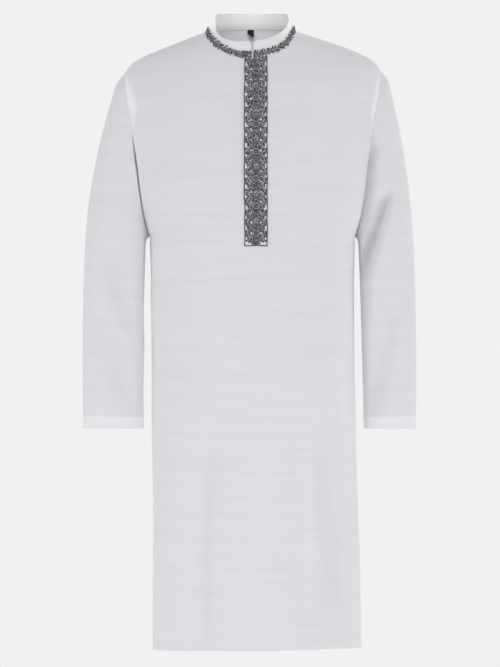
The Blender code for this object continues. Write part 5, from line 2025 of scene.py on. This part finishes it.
@dataclass
class Stitching:
    """White machine stitches along the hems, slits, cuffs, armholes and collar edge."""

    cloths: dict[str, Cloth]
    pitch: float = 0.0032
    size: tuple[float, float, float] = (0.0027, 0.00055, 0.00045)
    hem_row: int = 6
    side_column: int = 2
    above_slit: float = 6 * MM
    seam_row: int = 2
    collar_row: int = -3
    threads: Threads = field(default_factory=Threads)

    def line(self, points: Array, normals: Array) -> None:
        """Stitches along a line of points."""
        run = run_along(points)
        at = np.arange(self.pitch / 2, run[-1], self.pitch)
        half = 0.5 * MM
        ahead, behind = (read_line(at + step, run, points) for step in (half, -half))
        self.threads.places.append(read_line(at, run, points))
        self.threads.alongs.append(unit(ahead - behind))
        self.threads.ups.append(unit(read_line(at, run, normals)))
        self.threads.sizes.append(np.broadcast_to(self.size, (len(at), 3)))
        self.threads.tones.append(np.full(len(at), 0.5))

    def loop(self, cloth: Cloth, row: int) -> None:
        """Stitches round a tube at one row."""
        closed = [np.concatenate([g[row], g[row][:1]]) for g in (cloth.outer, cloth.own)]
        self.line(*closed)

    def across(self, cloth: Cloth, row: int) -> None:
        """Stitches along one row, clear of its ends."""
        inner = slice(self.side_column, -self.side_column)
        self.line(cloth.outer[row, inner], cloth.own[row, inner])

    def build(self, needle: Needle, finish: Material, sleeves: dict[str, SleeveForm]) -> None:
        """All stitches as one piece."""
        for name in ("front", "back"):
            cloth = self.cloths[name]
            self.across(cloth, self.hem_row)
            below = np.flatnonzero(cloth.outer[:, 0, 2] < SIZES.slit_top_z + self.above_slit)
            rows = below[below >= self.hem_row]
            for column in (self.side_column, -1 - self.side_column):
                self.line(cloth.outer[rows, column], cloth.own[rows, column])
        for name, form in sleeves.items():
            cloth = self.cloths[name]
            self.loop(cloth, int(np.argmin(np.abs(form.steps() - form.band_at()))))
            self.loop(cloth, self.seam_row)
        self.across(self.cloths["collar"], self.collar_row)
        piece = needle.sew("machine_stitches", self.threads, finish)


@dataclass
class Label:
    """A blank woven tab that hangs from the back neck seam, inside."""

    right_x: float = -0.0085
    left_x: float = 0.0025
    drop: float = 0.0132
    slant: float = 0.0066
    wall: float = 0.0007
    gap: float = 0.0009
    curl: float = 0.0005
    count: int = 9

    def build(self, back: Cloth, finish: Material) -> None:
        """The tab, with softly curled sides."""
        middle = back.outer.shape[1] // 2
        seam = back.inner(SIZES.wall)[-1, middle]
        across = np.linspace(self.right_x, self.left_x, self.count)
        share = (across - self.right_x) / (self.left_x - self.right_x)
        low = -self.drop + self.slant * (1 - share)
        rows = []
        for down in np.linspace(1, 0, self.count):
            curl = self.curl * down * np.sin(math.pi * share)
            y = seam[1] - self.gap - curl
            rows.append(np.stack([across, y, seam[2] + low * down], axis=-1))
        tab = Cloth(np.array(rows))
        dress(add_piece(tab.mesh("neck_label", self.wall), finish), "label")


# --- The stage ---


class Lamp(NamedTuple):
    """A soft square light: its place, what it points at, its side, watts and beam in radians."""

    name: str
    at: tuple[float, float, float]
    aim: tuple[float, float, float]
    size: float
    power: float
    spread: float = math.pi


TRUNK = (0, 0, -0.6)
SKIRT = (0, 0, -0.9)
LAMPS = (
    Lamp("left", (-2.9, -1.7, -0.3), TRUNK, 1.2, 16.5),
    Lamp("low", (-0.35, -1.7, -1.35), (0, 0, -0.95), 0.9, 6.8),
    Lamp("right", (1.8, -2.9, -0.9), TRUNK, 1.2, 13),
    Lamp("right_side", (2.9, -1.7, -0.3), TRUNK, 1.2, 13),
    Lamp("left_rim", (-3.0, -0.2, -1.1), SKIRT, 1.2, 9),
    Lamp("right_rim", (3.0, -0.2, -1.1), SKIRT, 1.2, 2),
    Lamp("high", (0.9, -2.4, 1.6), (0.05, 0, -0.1), 1.2, 10),
    Lamp("behind", (0.9, 3.0, -0.2), TRUNK, 1.6, 30),
    Lamp("neck", (-0.01, -0.06, 0.082), (0.004, 0.06, 0.016), 0.1, 0.06, 1.5),
)


@dataclass
class Studio:
    """A pale floor, soft lights and the camera."""

    floor_z: float = -1.50
    floor_half: float = 3.0
    floor_roughness: float = 0.9
    pale: str = "#F1F1F1"
    camera_at: tuple[float, float, float] = (-0.0043, -5.5, -0.5216)
    lens: float = 114.4
    sensor: float = 24.0
    ambient: float = 0.57

    def floor(self) -> None:
        """The floor, well below the hem."""
        half = self.floor_half
        corners = [(-half, -half), (half, -half), (half, half), (-half, half)]
        mesh = bpy.data.meshes.new("floor")
        mesh.from_pydata([(x, y, self.floor_z) for x, y in corners], [], [(0, 1, 2, 3)])
        finish, tree, shader = new_material("matt white studio board")
        plug(tree, shader, {"Base Color": linear(self.pale), "Roughness": self.floor_roughness})
        mesh.materials.append(finish)
        put("floor", mesh)

    def light(self, given: Lamp) -> None:
        """Sets up one light."""
        lamp = bpy.data.lights.new(given.name, "AREA")
        lamp.shape = "SQUARE"
        lamp.size = given.size
        lamp.energy = given.power
        lamp.spread = given.spread
        stand = put(given.name, lamp)
        stand.visible_camera = False
        stand.location = given.at
        way = Vector(given.aim) - Vector(given.at)
        stand.rotation_euler = way.to_track_quat("-Z", "Y").to_euler()

    def world(self) -> None:
        """The pale surround: seen at full tone, and a weaker even light on the cloth."""
        world = bpy.data.worlds.new("studio surround")
        bpy.context.scene.world = world
        world.use_nodes = True
        tree = world.node_tree
        tree.nodes.clear()
        seen, lit = (
            add_node(tree, "ShaderNodeBackground", {"Color": linear(self.pale), "Strength": strength})
            for strength in (1.0, self.ambient)
        )
        path = add_node(tree, "ShaderNodeLightPath")
        ways = {0: path.outputs["Is Camera Ray"], 1: lit.outputs[0], 2: seen.outputs[0]}
        shown = add_node(tree, "ShaderNodeMixShader", ways)
        add_node(tree, "ShaderNodeOutputWorld", {"Surface": shown.outputs[0]})

    def camera(self) -> None:
        """The camera, level and straight in front."""
        eye = bpy.data.cameras.new("camera")
        eye.sensor_width = self.sensor
        eye.lens = self.lens
        eye.clip_end = 100
        stand = put("camera", eye)
        stand.location = self.camera_at
        stand.rotation_euler = (math.pi / 2, 0, 0)
        bpy.context.scene.camera = stand

    def build(self) -> None:
        """Everything round the garment."""
        bpy.context.scene.view_settings.view_transform = "Standard"
        self.floor()
        self.world()
        for lamp in LAMPS:
            self.light(lamp)
        self.camera()


def main() -> None:
    """Builds the garment, then the stage."""
    logging.basicConfig(level=logging.INFO, format="%(message)s")
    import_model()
    front_sizes = {"armhole": 0.058, "neck": 0.0685, "neck_rise": 0.019, "neck_power": 2.0, "power": 2.2}
    back_sizes = {"armhole": 0.062, "neck": 0.064, "neck_rise": 0.0395, "neck_power": 3.0, "power": 3.0}
    front = PanelForm(-1, "front", root=0.56, folds=FRONT_FOLDS, creases=FRONT_CREASES, **front_sizes)
    back = PanelForm(1, "back", root=0.40, folds=BACK_FOLDS, creases=BACK_CREASES, **back_sizes)
    left_folds = SLEEVE_LEFT_FRONT_FOLDS + SLEEVE_LEFT_CREASES
    right_folds = SLEEVE_RIGHT_FRONT_FOLDS + SLEEVE_RIGHT_CREASES
    left = SleeveForm(SLEEVE_LEFT, 1, left_folds, SLEEVE_LEFT_BACK_FOLDS)
    right = SleeveForm(SLEEVE_RIGHT, -1, right_folds, SLEEVE_RIGHT_BACK_FOLDS)
    collar = CollarForm()
    sleeves = {"sleeve_left": left, "sleeve_right": right}
    tailor = Tailor(front, back, left, right, collar)
    cloths = tailor.sew()
    cloth = SlubCloth().material()
    # The collar's cloth: the white cotton in darker tones, as painted shade, which the collar's attribute
    # lifts back to white on its outer side.
    pressed = SlubCloth(
        name="white cotton, pressed and lined",
        colour="#C4C4C5",
        thick_colour="#CECECF",
        thin_colour="#BABABB",
        double_colour="#EDEDEF",
        dash_share=0.12,
    ).material()
    thread = EmbroideryThread().material()
    needle = Needle()
    Kurta(cloths, cloth, pressed).build(sleeves, collar)
    placket = Placket(cloths["front"])
    cover = placket.build(cloth, cloths["front"].inner(SIZES.wall))
    top = cover.outer[-1]
    PlacketEmbroidery(placket.patch(cover), top[:, 0], top[:, 2]).build(needle, thread)
    Garland(garland_patch(tailor, cloths)).build(needle, thread)
    Stitching(cloths).build(needle, SewingThread().material(), sleeves)
    Label().build(cloths["back"], LabelTape().material())
    Studio().build()


if __name__ == "__main__":
    main()
